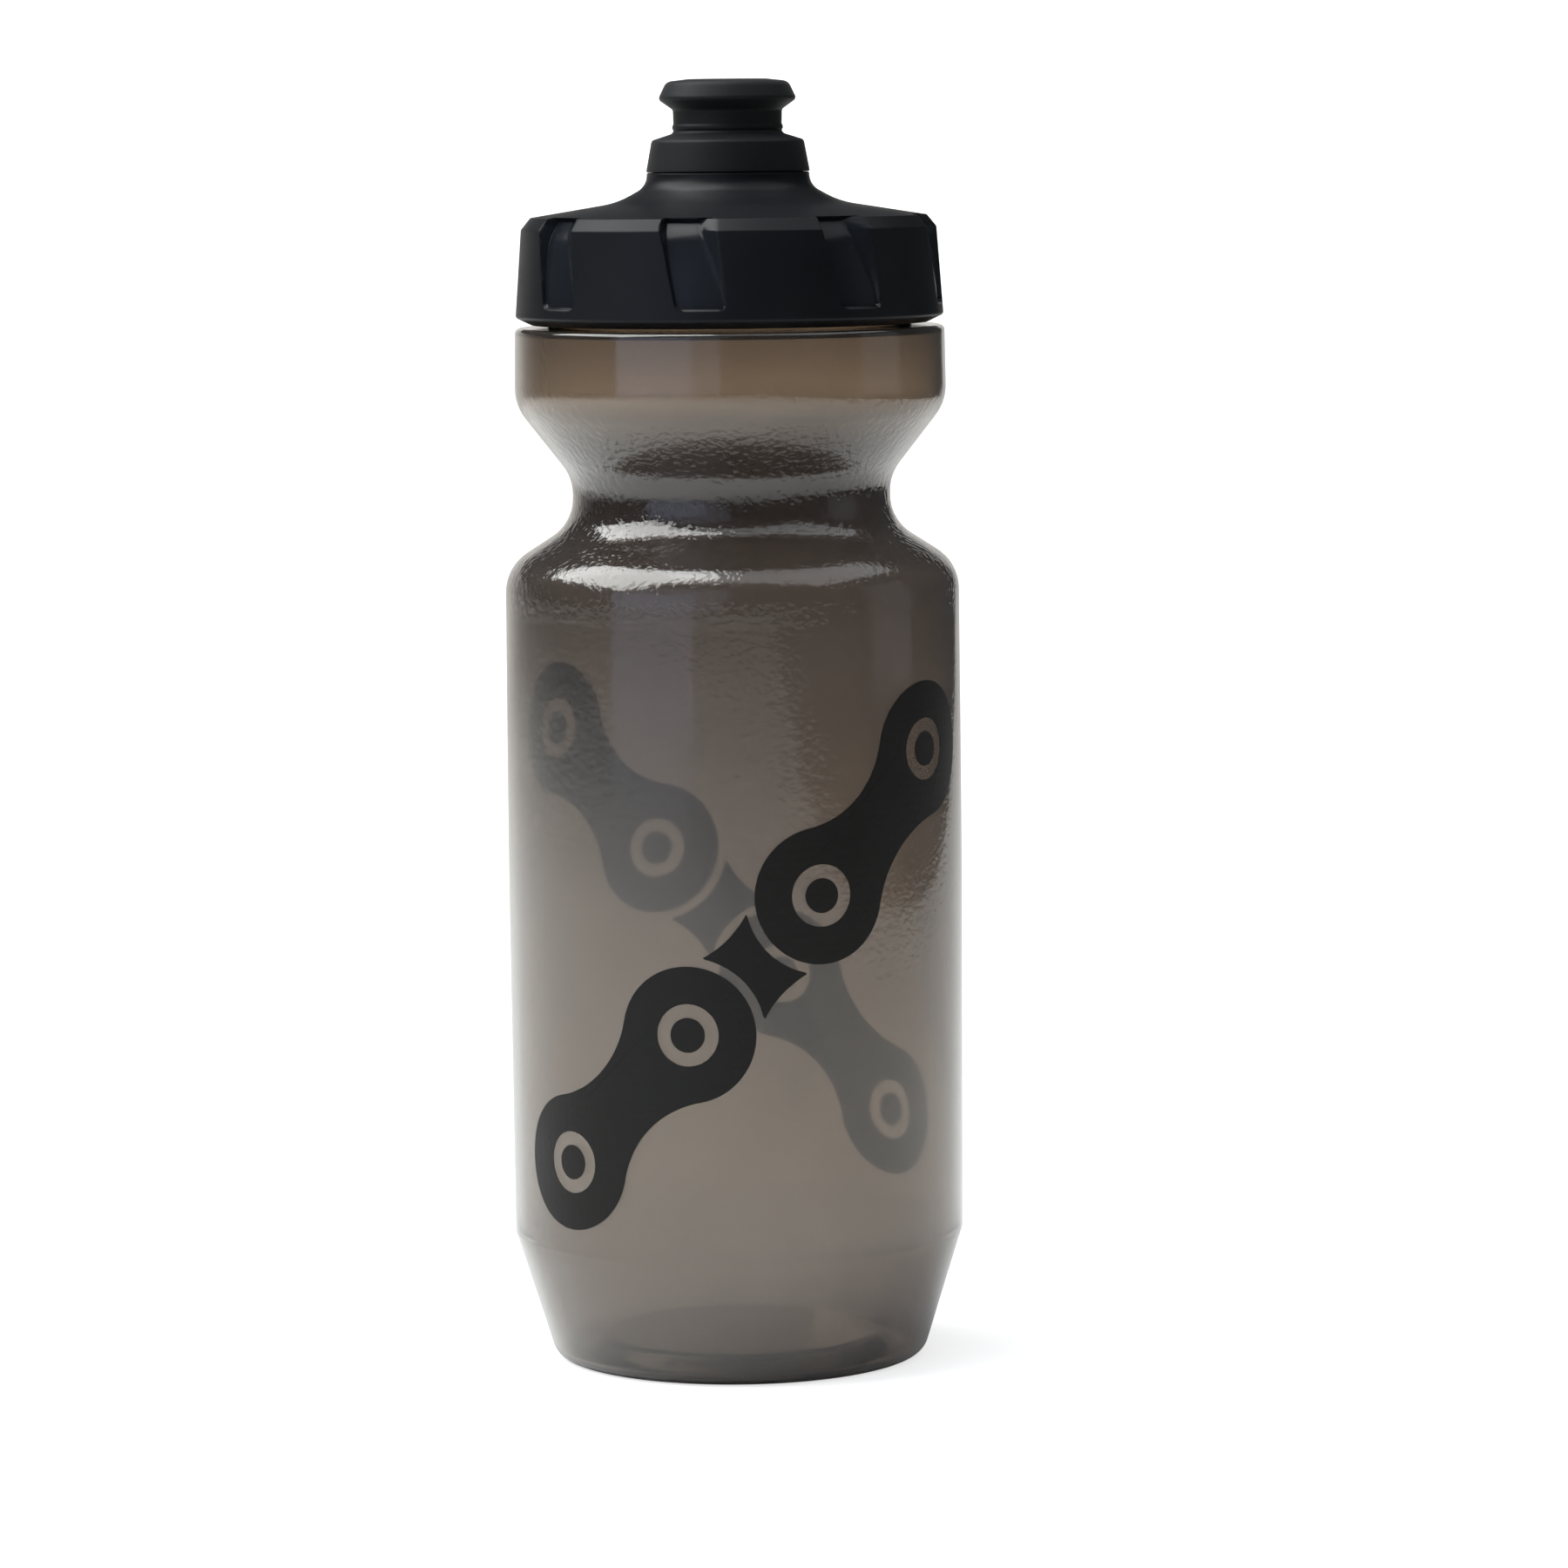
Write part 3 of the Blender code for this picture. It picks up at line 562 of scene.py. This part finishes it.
def pocket_columns(share):
    """The angles (rows, columns) of the cap's grid. Each pocket has columns close together at both its
    edges, which lean and spread with the row's share of the pocket's height, and evenly spaced ones between
    and outside."""
    share = share[:, None]
    width = POCKET_WIDTHS[0] + (POCKET_WIDTHS[1] - POCKET_WIDTHS[0]) * share
    middle = POCKET_LEAN * (0.5 - share)
    sector = math.tau * POCKET_RADIUS / POCKETS
    near = np.array([-0.9, -0.5, -0.3, -0.18, -0.06, 0.06, 0.18, 0.3, 0.42, 0.55, 0.75, 1.0])[None]
    inside = np.linspace(0, 1, 13)[None, 1:-1]
    outside = np.linspace(0, 1, 10)[None, 1:-1]
    left, right = middle - width / 2, middle + width / 2
    across = np.concatenate(
        [
            left + near,
            left + near[0, -1] + inside * (width - 2 * near[0, -1]),
            right - near[:, ::-1],
            right - near[0, 0] + outside * (sector - width + 2 * near[0, 0]),
        ],
        1,
    )
    start = POCKET_PHASE + math.tau * np.arange(POCKETS)[None, :, None] / POCKETS
    return (start + across[:, None] / POCKET_RADIUS).reshape(len(share), -1)


def pocketed(outline, angles):
    """(radii, depth share) of the collar's rows: the radius is the lower of the collar's and the pocket's,
    where a pocket is its floor plus POCKET_STEEP times the distance past its outline, which has round foot
    corners. Both the lower and the floor's meeting with the wall are eased: (a + b -+ sqrt((a - b)^2 +
    ease^2)) / 2."""
    sector = math.tau / POCKETS
    across = (np.mod(angles - POCKET_PHASE + sector / 2, sector) - sector / 2) * POCKET_RADIUS
    collar, height = outline[:, :1], outline[:, 1:]
    share = np.clip((height - POCKET_FOOT) / (POCKET_HEAD - POCKET_FOOT), 0, 1)
    width = POCKET_WIDTHS[0] + (POCKET_WIDTHS[1] - POCKET_WIDTHS[0]) * share
    aside = np.abs(across - POCKET_LEAN * (0.5 - share)) - width / 2 + POCKET_CORNER
    below = np.broadcast_to(POCKET_FOOT - height + POCKET_CORNER, aside.shape)
    past = np.minimum(np.maximum(aside, below), 0) + np.hypot(np.maximum(aside, 0), np.maximum(below, 0))
    floor = POCKET_FLOORS[0] + (POCKET_FLOORS[1] - POCKET_FLOORS[0]) * share**POCKET_SCOOP
    low, high = POCKET_ROUND_RISE
    floor = floor - POCKET_ROUND * np.clip((height - low) / (high - low), 0, 1) ** 2
    steep = floor + POCKET_STEEP * (past - POCKET_CORNER + POCKET_DRAFT)
    run = POCKET_DRAFT + POCKET_FACET * share**POCKET_FACET_RISE
    inward = across - POCKET_LEAN * (0.5 - share) - width / 2
    facet = floor + (collar - floor) * (1 + inward / run)
    wall = np.maximum(steep, np.minimum(facet, collar + POCKET_FULL))
    pocket = (floor + wall + np.sqrt((floor - wall) ** 2 + POCKET_EASE**2)) / 2
    radii = (collar + pocket - np.sqrt((collar - pocket) ** 2 + POCKET_EASE**2)) / 2
    depth = np.clip((collar - radii) / POCKET_FULL, 0, 1)
    return np.where(pocket - collar > POCKET_CLEAR, collar, radii), depth


cap_top = filleted(
    [
        (7.6, 195.5),
        (7.6, 197.2, 0.3),
        (10.2, 197.2, 0.6),
        (10.2, 194.1),
        (13.2, 194.1, 0.3),
        (13.2, 192.0, 3.0),
        (18.0, 189.3, 14.0),
        ROOF_BREAK,
    ],
    1.2,
)
cap_collar = filleted(
    [
        ROOF_BREAK,
        (32.2, 187.0, 0.3),
        (33.75, 185.1, 0.6),
        (34.8, 170.9, 0.6),
        (32.3, 169.7, 0.3),
        CAP_FOOT,
    ],
    0.28,
)[1:]
cap_inside = filleted([CAP_FOOT, (30.8, 184.6, 0.6), CAP_SEAT], 0.36)[1:]
cap_under = filleted(
    [
        CAP_SEAT,
        (27.0, 185.2),
        (18.0, 187.2),
        (10.4, 190.6, 1.4),
        (10.4, 185.6),
        (8.6, 185.6),
        (8.6, 194.9),
        (7.6, 195.5),
    ],
    1.8,
)[1:-1]
collar_share = np.clip((cap_collar[:, 1] - POCKET_FOOT) / (POCKET_HEAD - POCKET_FOOT), 0, 1)
cap_shares = np.concatenate(
    [np.ones(len(cap_top)), collar_share, np.zeros(len(cap_inside)), np.linspace(0, 1, len(cap_under))]
)
cap_angles = pocket_columns(cap_shares)
cap_outline = np.concatenate([cap_top, cap_collar, cap_inside, cap_under])
cap_radii = np.broadcast_to(cap_outline[:, :1], cap_angles.shape).copy()
cap_depth = np.zeros(cap_angles.shape)
collar_rows = slice(len(cap_top), len(cap_top) + len(cap_collar))
inside_rows = slice(collar_rows.stop, collar_rows.stop + len(cap_inside))
cap_radii[collar_rows], cap_depth[collar_rows] = pocketed(cap_collar, cap_angles[collar_rows])
cap_rib = helix_rib(cap_angles[inside_rows], cap_inside[:, 1:], CAP_THREAD_START)
cap_wall = cap_inside[:, :1]
cap_radii[inside_rows] -= np.maximum(cap_wall - CAP_THREAD_CREST, 0) * cap_rib * (cap_wall > CAP_WALL_FROM)
cap = new_piece("cap_moulding", [skin(round_grid(cap_outline, cap_angles, cap_radii), wrap_rows=True)])
pocket_depth = cap_depth.astype(np.float32).ravel()
cap.data.attributes.new("pocket_depth", "FLOAT", "POINT").data.foreach_set("value", pocket_depth)


def moulded_pp():
    """Black polypropylene, injection moulded: a satin spark finish, drawn at a fifth of a millimetre, about
    twice its real size, so that it shows, smoother and faintly rippled on the pockets' floors, with the soft
    unevenness of a part that has shrunk in its mould. The pockets' floors are painted a lighter, bluer black
    as a painted reflection."""
    made, tree = new_material("moulded black polypropylene")
    place = add(tree, "ShaderNodeTexCoord").outputs["Object"]
    pocket = add(tree, "ShaderNodeAttribute", attribute_name="pocket_depth").outputs["Fac"]
    spark = add(tree, "ShaderNodeTexNoise", {"Vector": place, "Scale": 5200.0, "Detail": 2.0})
    ripple = add(tree, "ShaderNodeTexNoise", {"Vector": place, "Scale": 260.0, "Detail": 2.0})
    cloud = add(tree, "ShaderNodeTexNoise", {"Vector": place, "Scale": 60.0, "Detail": 3.0})
    colour = add(tree, "ShaderNodeValToRGB", {0: cloud.outputs[0]})
    colour.color_ramp.elements[0].color = linear("#101216")
    colour.color_ramp.elements[1].color = linear("#16181c")
    satin = add(tree, "ShaderNodeMapRange", {0: cloud.outputs[0], 1: 0.3, 2: 0.7, 3: 0.36, 4: 0.44})
    rough = add(tree, "ShaderNodeMapRange", {0: pocket, 3: satin.outputs[0], 4: 0.18})
    # The pockets' floors are mixed to a lighter, bluer black: a painted reflection of the gloss they catch.
    painted_pocket_sheen = add(
        tree,
        "ShaderNodeMix",
        {0: pocket, 6: colour.outputs[0], 7: linear("#1c1f24")},
        data_type="RGBA",
    )
    fine = add(tree, "ShaderNodeBump", {"Strength": 1.0, "Distance": 0.000004, "Height": spark.outputs[0]})
    waved = add(tree, "ShaderNodeMath", {0: pocket, 1: 0.00003}, operation="MULTIPLY")
    wave = add(
        tree,
        "ShaderNodeBump",
        {"Strength": 1.0, "Distance": waved.outputs[0], "Height": ripple.outputs[0], "Normal": fine.outputs[0]},
    )
    shader = add(
        tree,
        "ShaderNodeBsdfPrincipled",
        {
            "Base Color": painted_pocket_sheen.outputs[2],
            "Roughness": rough.outputs[0],
            "Normal": wave.outputs[0],
            "IOR": 1.49,
            "Specular IOR Level": 0.22,
        },
    )
    add(tree, "ShaderNodeOutputMaterial", {0: shader.outputs[0]})
    return made


black_pp = moulded_pp()
cap.data.materials.append(black_pp)
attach(cap, "cap")
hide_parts("screw_cap")

# ---------------------------------------------------------------------------------------------------------
# The plug: a post with a conical head on three spokes across the stem's foot, moulded in one with the cap.
# It stands still while the nozzle slides, and shuts the nozzle's throat when that is pushed down.
# ---------------------------------------------------------------------------------------------------------

SPOKES = 3
SPOKE_SIDES = (1.4, 1.3)
SPOKE_SQUARENESS = 0.35
SPOKE_MIDDLE = 186.55
SPOKE_REACH = 8.9


def spoke(turn):
    """A bar of near-square section from the axis out to the guide's wall, closed by a pole at each end. The
    section is a superellipse, (cos, sin) each raised to SPOKE_SQUARENESS."""
    around = np.linspace(0, math.tau, 32, endpoint=False)
    section = np.stack([np.cos(around), np.sin(around)], 1)
    section = np.sign(section) * np.abs(section) ** SPOKE_SQUARENESS * np.array(SPOKE_SIDES) / 2
    along = np.array([0.0, 0.0, SPOKE_REACH, SPOKE_REACH])[:, None]
    size = np.array([0.0, 1.0, 1.0, 0.0])[:, None]
    side, height = size * section[:, 0], SPOKE_MIDDLE + size * section[:, 1]
    along = np.broadcast_to(along, side.shape)
    x = along * math.cos(turn) - side * math.sin(turn)
    y = along * math.sin(turn) + side * math.cos(turn)
    return skin(np.stack([x, y, height], 2)[:, ::-1] * MM)


post = filleted(
    [
        (0.0, 202.2),
        (1.8, 202.2, 0.3),
        (3.2, 201.4, 0.2),
        (3.2, 199.8, 0.2),
        (2.2, 198.8, 0.2),
        (2.2, 185.6, 0.2),
        (0.0, 185.6),
    ],
    1.0,
)
post_angles = np.linspace(0, math.tau, 64, endpoint=False)[None]
spoke_turns = math.tau * (np.arange(SPOKES) + 0.5) / SPOKES
plug = new_piece("cap_plug", [skin(round_grid(post, post_angles)), *(spoke(turn) for turn in spoke_turns)])
plug.data.materials.append(black_pp)
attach(plug, "cap")

# ---------------------------------------------------------------------------------------------------------
# The gasket: a flat ring of black rubber, cut from sheet and pressed up into the cap's roof, which seals on
# the bottle's rim.
# ---------------------------------------------------------------------------------------------------------

gasket_outline = filleted(
    [(27.6, 184.3, 0.2), (30.3, 184.3, 0.2), (30.3, 182.9, 0.2), (27.6, 182.9, 0.2)], 0.9, closed=True
)
gasket_angles = np.linspace(0, math.tau, 160, endpoint=False)[None]
gasket = new_piece("gasket_ring", [skin(round_grid(gasket_outline, gasket_angles), wrap_rows=True)])


def sheet_rubber():
    """Black EPDM sheet: matt, slightly talced, with a fine woven press mark."""
    made, tree = new_material("die-cut black EPDM")
    place = add(tree, "ShaderNodeTexCoord").outputs["Object"]
    talc = add(tree, "ShaderNodeTexNoise", {"Vector": place, "Scale": 400.0, "Detail": 4.0})
    colour = add(tree, "ShaderNodeValToRGB", {0: talc.outputs[0]})
    colour.color_ramp.elements[0].color = linear("#1a1a1a")
    colour.color_ramp.elements[1].color = linear("#2c2c2b")
    grain = add(tree, "ShaderNodeBump", {"Strength": 1.0, "Distance": 0.00003, "Height": talc.outputs[0]})
    shader = add(
        tree,
        "ShaderNodeBsdfPrincipled",
        {"Base Color": colour.outputs[0], "Roughness": 0.72, "Normal": grain.outputs[0], "IOR": 1.48},
    )
    add(tree, "ShaderNodeOutputMaterial", {0: shader.outputs[0]})
    return made


gasket.data.materials.append(sheet_rubber())
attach(gasket, "seal")
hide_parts("cap_gasket")

# ---------------------------------------------------------------------------------------------------------
# The nozzle's core: the hard polypropylene slider, with a sleeve outside the stem, a barbed tube inside it
# that stops at the ledge, the throat that the plug shuts, and the pocket for the valve.
# ---------------------------------------------------------------------------------------------------------

core_outline = filleted(
    [
        (5.6, 207.4),
        (7.0, 207.4, 0.2),
        (7.0, 206.3, 0.2),
        (8.2, 206.3, 0.3),
        (8.2, 205.3, 0.3),
        (7.0, 205.3, 0.2),
        (7.0, 198.4, 0.3),
        (10.8, 198.4, 0.2),
        (11.6, 197.4, 0.3),
        (11.6, 194.9, 0.2),
        (10.5, 194.9, 0.2),
        (10.5, 197.5, 0.3),
        (7.2, 197.5, 0.3),
        (7.2, 189.0, 0.1),
        (8.2, 188.6, 0.1),
        (7.6, 187.6, 0.1),
        (5.9, 187.6, 0.2),
        (5.9, 198.6, 0.6),
        (3.5, 199.8, 0.3),
        (3.5, 201.6, 0.3),
        (4.4, 203.0, 0.3),
        (4.4, 204.9, 0.1),
        (5.6, 204.9, 0.1),
    ],
    0.9,
    closed=True,
)
nozzle_angles = np.linspace(0, math.tau, 160, endpoint=False)[None]
core = new_piece("nozzle_slider", [skin(round_grid(core_outline, nozzle_angles), wrap_rows=True)])


def hard_pp():
    """Dark grey polypropylene, injection moulded against a polished tool, with faint flow marks."""
    made, tree = new_material("moulded grey polypropylene")
    place = add(tree, "ShaderNodeTexCoord").outputs["Object"]
    flow = add(tree, "ShaderNodeTexNoise", {"Vector": place, "Scale": 150.0, "Detail": 3.0, "Distortion": 1.2})
    colour = add(tree, "ShaderNodeValToRGB", {0: flow.outputs[0]})
    colour.color_ramp.elements[0].color = linear("#343538")
    colour.color_ramp.elements[1].color = linear("#3f4043")
    rough = add(tree, "ShaderNodeMapRange", {0: flow.outputs[0], 3: 0.3, 4: 0.42})
    grain = add(tree, "ShaderNodeBump", {"Strength": 1.0, "Distance": 0.00001, "Height": flow.outputs[0]})
    shader = add(
        tree,
        "ShaderNodeBsdfPrincipled",
        {
            "Base Color": colour.outputs[0],
            "Roughness": rough.outputs[0],
            "Normal": grain.outputs[0],
            "IOR": 1.49,
        },
    )
    add(tree, "ShaderNodeOutputMaterial", {0: shader.outputs[0]})
    return made


grey_pp = hard_pp()
core.data.materials.append(grey_pp)
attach(core, "nozzle")
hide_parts("nozzle_core")

# ---------------------------------------------------------------------------------------------------------
# The nozzle's cover: a soft thermoplastic rubber skin moulded over the core, with a flared skirt, a waisted
# neck and a thick rolled lip to pull with the teeth. It grips the core's flange and does not come off.
# ---------------------------------------------------------------------------------------------------------

cover_outline = filleted(
    [
        (5.9, 209.2, 0.5),
        (9.9, 208.75, 1.5),
        (11.25, 205.9, 0.7),
        (8.85, 204.2, 0.7),
        (8.8, 201.9, 0.2),
        (8.98, 201.55, 0.15),
        (8.98, 201.15, 0.15),
        (8.8, 200.85, 0.3),
        (8.9, 200.4, 0.8),
        (12.35, 199.3, 0.7),
        (13.3, 194.16, 0.2),
        (11.9, 194.16, 0.2),
        (11.9, 197.7, 0.2),
        (11.1, 198.7, 0.2),
        (7.3, 198.7, 0.2),
        (7.3, 205.0, 0.2),
        (8.5, 205.0, 0.2),
        (8.5, 206.6, 0.2),
        (7.3, 206.6, 0.2),
        (7.3, 207.7, 0.1),
        (5.9, 207.7, 0.2),
    ],
    0.7,
    closed=True,
)
cover = new_piece("nozzle_skin", [skin(round_grid(cover_outline, nozzle_angles), wrap_rows=True)])


def soft_rubber():
    """Black thermoplastic rubber of about 60 Shore A, overmoulded: matt and slightly bloomed, so that it
    keeps a faint sheen at a grazing angle, with a fine leathery tool texture."""
    made, tree = new_material("overmoulded black TPE")
    place = add(tree, "ShaderNodeTexCoord").outputs["Object"]
    leather = add(tree, "ShaderNodeTexNoise", {"Vector": place, "Scale": 2600.0, "Detail": 3.0})
    bloom = add(tree, "ShaderNodeTexNoise", {"Vector": place, "Scale": 130.0, "Detail": 4.0})
    colour = add(tree, "ShaderNodeValToRGB", {0: bloom.outputs[0]})
    colour.color_ramp.elements[0].color = linear("#0e0f11")
    colour.color_ramp.elements[1].color = linear("#141517")
    rough = add(tree, "ShaderNodeMapRange", {0: bloom.outputs[0], 1: 0.3, 2: 0.7, 3: 0.5, 4: 0.6})
    grain = add(tree, "ShaderNodeBump", {"Strength": 1.0, "Distance": 0.00001, "Height": leather.outputs[0]})
    shader = add(
        tree,
        "ShaderNodeBsdfPrincipled",
        {
            "Base Color": colour.outputs[0],
            "Roughness": rough.outputs[0],
            "Normal": grain.outputs[0],
            "IOR": 1.5,
            "Specular IOR Level": 0.25,
            "Sheen Weight": 0.08,
            "Sheen Roughness": 0.4,
        },
    )
    add(tree, "ShaderNodeOutputMaterial", {0: shader.outputs[0]})
    return made


cover.data.materials.append(soft_rubber())
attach(cover, "nozzle")
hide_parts("nozzle_cover")

# ---------------------------------------------------------------------------------------------------------
# The valve: a disc of clear silicone whose dished middle is slit crosswise into four petals, which part only
# when the bottle is squeezed. It lies on the core's ledge.
# ---------------------------------------------------------------------------------------------------------

VALVE_RIM = 4.0
VALVE_WEB = 0.6
DISH_RADIUS = 3.5
DISH_EDGE = 205.6
DISH_DEPTH = 0.9
SLIT_REACH = 2.7
SLIT_HALF = 0.08
PETAL_TIP = 0.15


def dish(radius):
    """Height of the dished web's upper side: DISH_EDGE - DISH_DEPTH * (1 - (radius / DISH_RADIUS)^2), and
    level beyond DISH_RADIUS."""
    return DISH_EDGE - DISH_DEPTH * np.maximum(1 - (radius / DISH_RADIUS) ** 2, 0)


def petal(turn):
    """A quarter of the slit web between two arms of the cross, as a closed slab. Each ring's angles keep
    SLIT_HALF clear of both arms up to SLIT_REACH, beyond which the web is whole: the gap's angle is
    asin(SLIT_HALF / r)."""
    whole = [SLIT_REACH + 0.02, 3.2, DISH_RADIUS, VALVE_RIM + 0.2]
    radius = np.concatenate([[PETAL_TIP], np.linspace(2 * PETAL_TIP, SLIT_REACH, 12), whole])
    cut = np.where(radius <= SLIT_REACH, np.arcsin(np.minimum(SLIT_HALF / radius, 0.7)), 0)[:, None]
    share = np.linspace(0, 1, 25)[None]
    angle = turn + cut + share * (math.pi / 2 - 2 * cut)
    upper = np.stack([radius[:, None] * np.cos(angle), radius[:, None] * np.sin(angle)], 2)
    height = np.broadcast_to(dish(radius)[:, None, None], (*angle.shape, 1))
    top = np.concatenate([upper, height], 2)
    bottom = top - (0, 0, VALVE_WEB)
    ring = np.concatenate([top, bottom[::-1]]) * MM
    vertices, quads = skin(ring[:, ::-1], wrap_rows=True, wrap_columns=False)
    rows, columns = ring.shape[:2]
    index = np.arange(rows * columns).reshape(rows, columns)
    half = rows // 2
    ends = []
    for column, order in ((0, 1), (columns - 1, -1)):
        above, under = index[:half, column], index[half:, column][::-1]
        ends.append(np.stack([above[:-1], under[:-1], under[1:], above[1:]][::order], 1))
    return vertices, np.concatenate([quads, *ends])


valve_rim = filleted(
    [(4.0, 206.0, 0.1), (5.3, 206.0, 0.15), (5.3, 205.2, 0.15), (4.0, 205.2, 0.1)], 0.6, closed=True
)
rim_angles = np.linspace(0, math.tau, 96, endpoint=False)[None]
valve_parts = [skin(round_grid(valve_rim, rim_angles), wrap_rows=True)]
valve_parts += [petal(math.pi / 4 + quarter * math.pi / 2) for quarter in range(4)]
valve = new_piece("valve_disc", valve_parts)


def clear_silicone():
    """Clear silicone rubber, compression moulded: soft, glossy and slightly cloudy."""
    made, tree = new_material("moulded clear silicone")
    place = add(tree, "ShaderNodeTexCoord").outputs["Object"]
    haze = add(tree, "ShaderNodeTexNoise", {"Vector": place, "Scale": 500.0, "Detail": 2.0})
    colour = add(tree, "ShaderNodeValToRGB", {0: haze.outputs[0]})
    colour.color_ramp.elements[0].color = linear("#b9bbbd")
    colour.color_ramp.elements[1].color = linear("#d2d4d5")
    grain = add(tree, "ShaderNodeBump", {"Strength": 1.0, "Distance": 0.000006, "Height": haze.outputs[0]})
    shader = add(
        tree,
        "ShaderNodeBsdfPrincipled",
        {
            "Base Color": colour.outputs[0],
            "Roughness": 0.3,
            "Normal": grain.outputs[0],
            "Transmission Weight": 0.4,
            "IOR": 1.41,
        },
    )
    add(tree, "ShaderNodeOutputMaterial", {0: shader.outputs[0]})
    return made


valve.data.materials.append(clear_silicone())
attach(valve, "nozzle")
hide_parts("flow_valve")

# ---------------------------------------------------------------------------------------------------------
# The retainer: a hard ring pressed into the core's top, which holds the valve down and opens out towards the
# mouth of the nozzle.
# ---------------------------------------------------------------------------------------------------------

retainer_outline = filleted(
    [(4.9, 208.3, 0.15), (5.3, 208.3, 0.1), (5.3, 206.3, 0.1), (4.0, 206.3, 0.1), (4.0, 206.9, 0.2)],
    0.6,
    closed=True,
)
retainer = new_piece("valve_ring", [skin(round_grid(retainer_outline, rim_angles), wrap_rows=True)])
retainer.data.materials.append(grey_pp)
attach(retainer, "nozzle")
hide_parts("valve_retainer")

# ---------------------------------------------------------------------------------------------------------
# The stage: a white paper sweep that only the camera sees, as behind a cut-out picture, and a pale matt table
# with a low wall that the bottle mirrors and lets through. Soft boxes hang over the left side and the right,
# two stand dimly at the front left, a card at the right, one lights the wall, and the room is dark.
# ---------------------------------------------------------------------------------------------------------

SWEEP_FRONT = -2.4
SWEEP_WALL = 1.5
SWEEP_BEND = 0.4
SWEEP_SIDE = 2.6


def paper_sweep(name, top, level, right):
    """A sheet that lies at that level, turns up in a quarter circle of radius SWEEP_BEND into a wall that
    ends at top, and runs from SWEEP_SIDE on the left to where it is told on the right."""
    turn = np.linspace(0, math.pi / 2, 25)
    bend = np.stack([SWEEP_WALL + SWEEP_BEND * (np.sin(turn) - 1), level + SWEEP_BEND * (1 - np.cos(turn))], 1)
    run = np.concatenate([[[SWEEP_FRONT, level]], bend, [[SWEEP_WALL, top]]])
    side = np.linspace(-SWEEP_SIDE, right, 9)
    grid = np.empty((len(run), len(side), 3))
    grid[..., 0] = side
    grid[..., 1:] = run[:, None]
    vertices, quads = skin(grid, wrap_columns=False)
    mesh = bpy.data.meshes.new(name)
    mesh.from_pydata(vertices.tolist(), [], quads[:, ::-1].tolist())
    mesh.shade_smooth()
    obj = bpy.data.objects.new(name, mesh)
    bpy.context.scene.collection.objects.link(obj)
    return obj


def pale_paper(name, glow):
    """Seamless pale paper, matt and even. The glow makes it print as white."""
    made, tree = new_material(name)
    place = add(tree, "ShaderNodeTexCoord").outputs["Object"]
    fibre = add(tree, "ShaderNodeTexNoise", {"Vector": place, "Scale": 300.0, "Detail": 4.0})
    colour = add(tree, "ShaderNodeValToRGB", {0: fibre.outputs[0]})
    colour.color_ramp.elements[0].color = linear("#e6e6e4")
    colour.color_ramp.elements[1].color = linear("#efefee")
    shader = add(
        tree,
        "ShaderNodeBsdfPrincipled",
        {
            "Base Color": colour.outputs[0],
            "Roughness": 0.9,
            "Specular IOR Level": 0.1,
            "Emission Color": (1.0, 1.0, 1.0, 1.0),
            "Emission Strength": glow,
        },
    )
    add(tree, "ShaderNodeOutputMaterial", {0: shader.outputs[0]})
    return made


white_sweep = paper_sweep("white_sweep", 2.6, 0.0, SWEEP_SIDE)
white_sweep.data.materials.append(pale_paper("white seamless paper", 0.7))
table = paper_sweep("pale_table", 0.5, -0.0003, 0.6)
table.data.materials.append(pale_paper("pale seamless paper", 0.0))
for ray in ("diffuse", "glossy", "transmission", "volume_scatter", "shadow"):
    setattr(white_sweep, f"visible_{ray}", False)
table.visible_camera = False


def soft_box(name, place, aim, size, power, colour):
    """A rectangular soft box of that size in metres, power in watts and colour, at place and facing aim."""
    light = bpy.data.lights.new(name, "AREA")
    light.shape = "RECTANGLE"
    light.size, light.size_y = size
    light.energy = power
    light.color = linear(colour)[:3]
    holder = bpy.data.objects.new(name, light)
    holder.location = place
    holder.rotation_euler = (Vector(aim) - Vector(place)).to_track_quat("-Z", "Y").to_euler()
    bpy.context.scene.collection.objects.link(holder)


soft_box("key_box", (-0.5, 0.0, 0.93), (0.0, 0.0, 0.14), (1.0, 0.95), 14.5, "#f4f7f6")
soft_box("ceiling_box", (0.4, -0.1, 1.25), (0.4, -0.1, 0.0), (1.7, 1.5), 7.5, "#f0f4f8")
soft_box("front_box", (-0.75, -0.85, 0.25), (0.0, 0.0, 0.12), (0.9, 0.7), 0.65, "#c8d8ff")
soft_box("upper_box", (-0.7, -1.05, 0.55), (0.0, 0.0, 0.16), (1.5, 1.0), 1.3, "#d8e4ff")
soft_box("right_card", (1.0, -0.05, 0.32), (0.0, 0.0, 0.16), (0.5, 0.6), 0.15, "#eff4ff")
soft_box("wall_box", (-0.3, 0.55, 1.0), (-0.3, 2.2, 0.45), (1.2, 0.4), 4.9, "#fff0e2")

world = bpy.data.worlds.new("dark studio")
world.use_nodes = True
world.node_tree.nodes["Background"].inputs["Color"].default_value = (0.05, 0.05, 0.052, 1.0)
bpy.context.scene.world = world

# ---------------------------------------------------------------------------------------------------------
# The camera: a long lens a metre in front of the bottle at the height of its nozzle, looking six degrees down
# and leaning by half a degree.
# ---------------------------------------------------------------------------------------------------------

lens = bpy.data.cameras.new("front_camera")
lens.sensor_width = 36.0
lens.lens = 142.0
lens.clip_start = 0.05
camera = bpy.data.objects.new("front_camera", lens)
camera.location = (0.0, -1.0085, 0.2007)
tilt = Euler((math.radians(90 - 6.03), 0.0, math.radians(-0.46))).to_matrix()
camera.rotation_euler = (tilt @ Euler((0.0, 0.0, math.radians(-0.57))).to_matrix()).to_euler()
bpy.context.scene.collection.objects.link(camera)
bpy.context.scene.camera = camera
bpy.context.scene.view_settings.view_transform = "Standard"
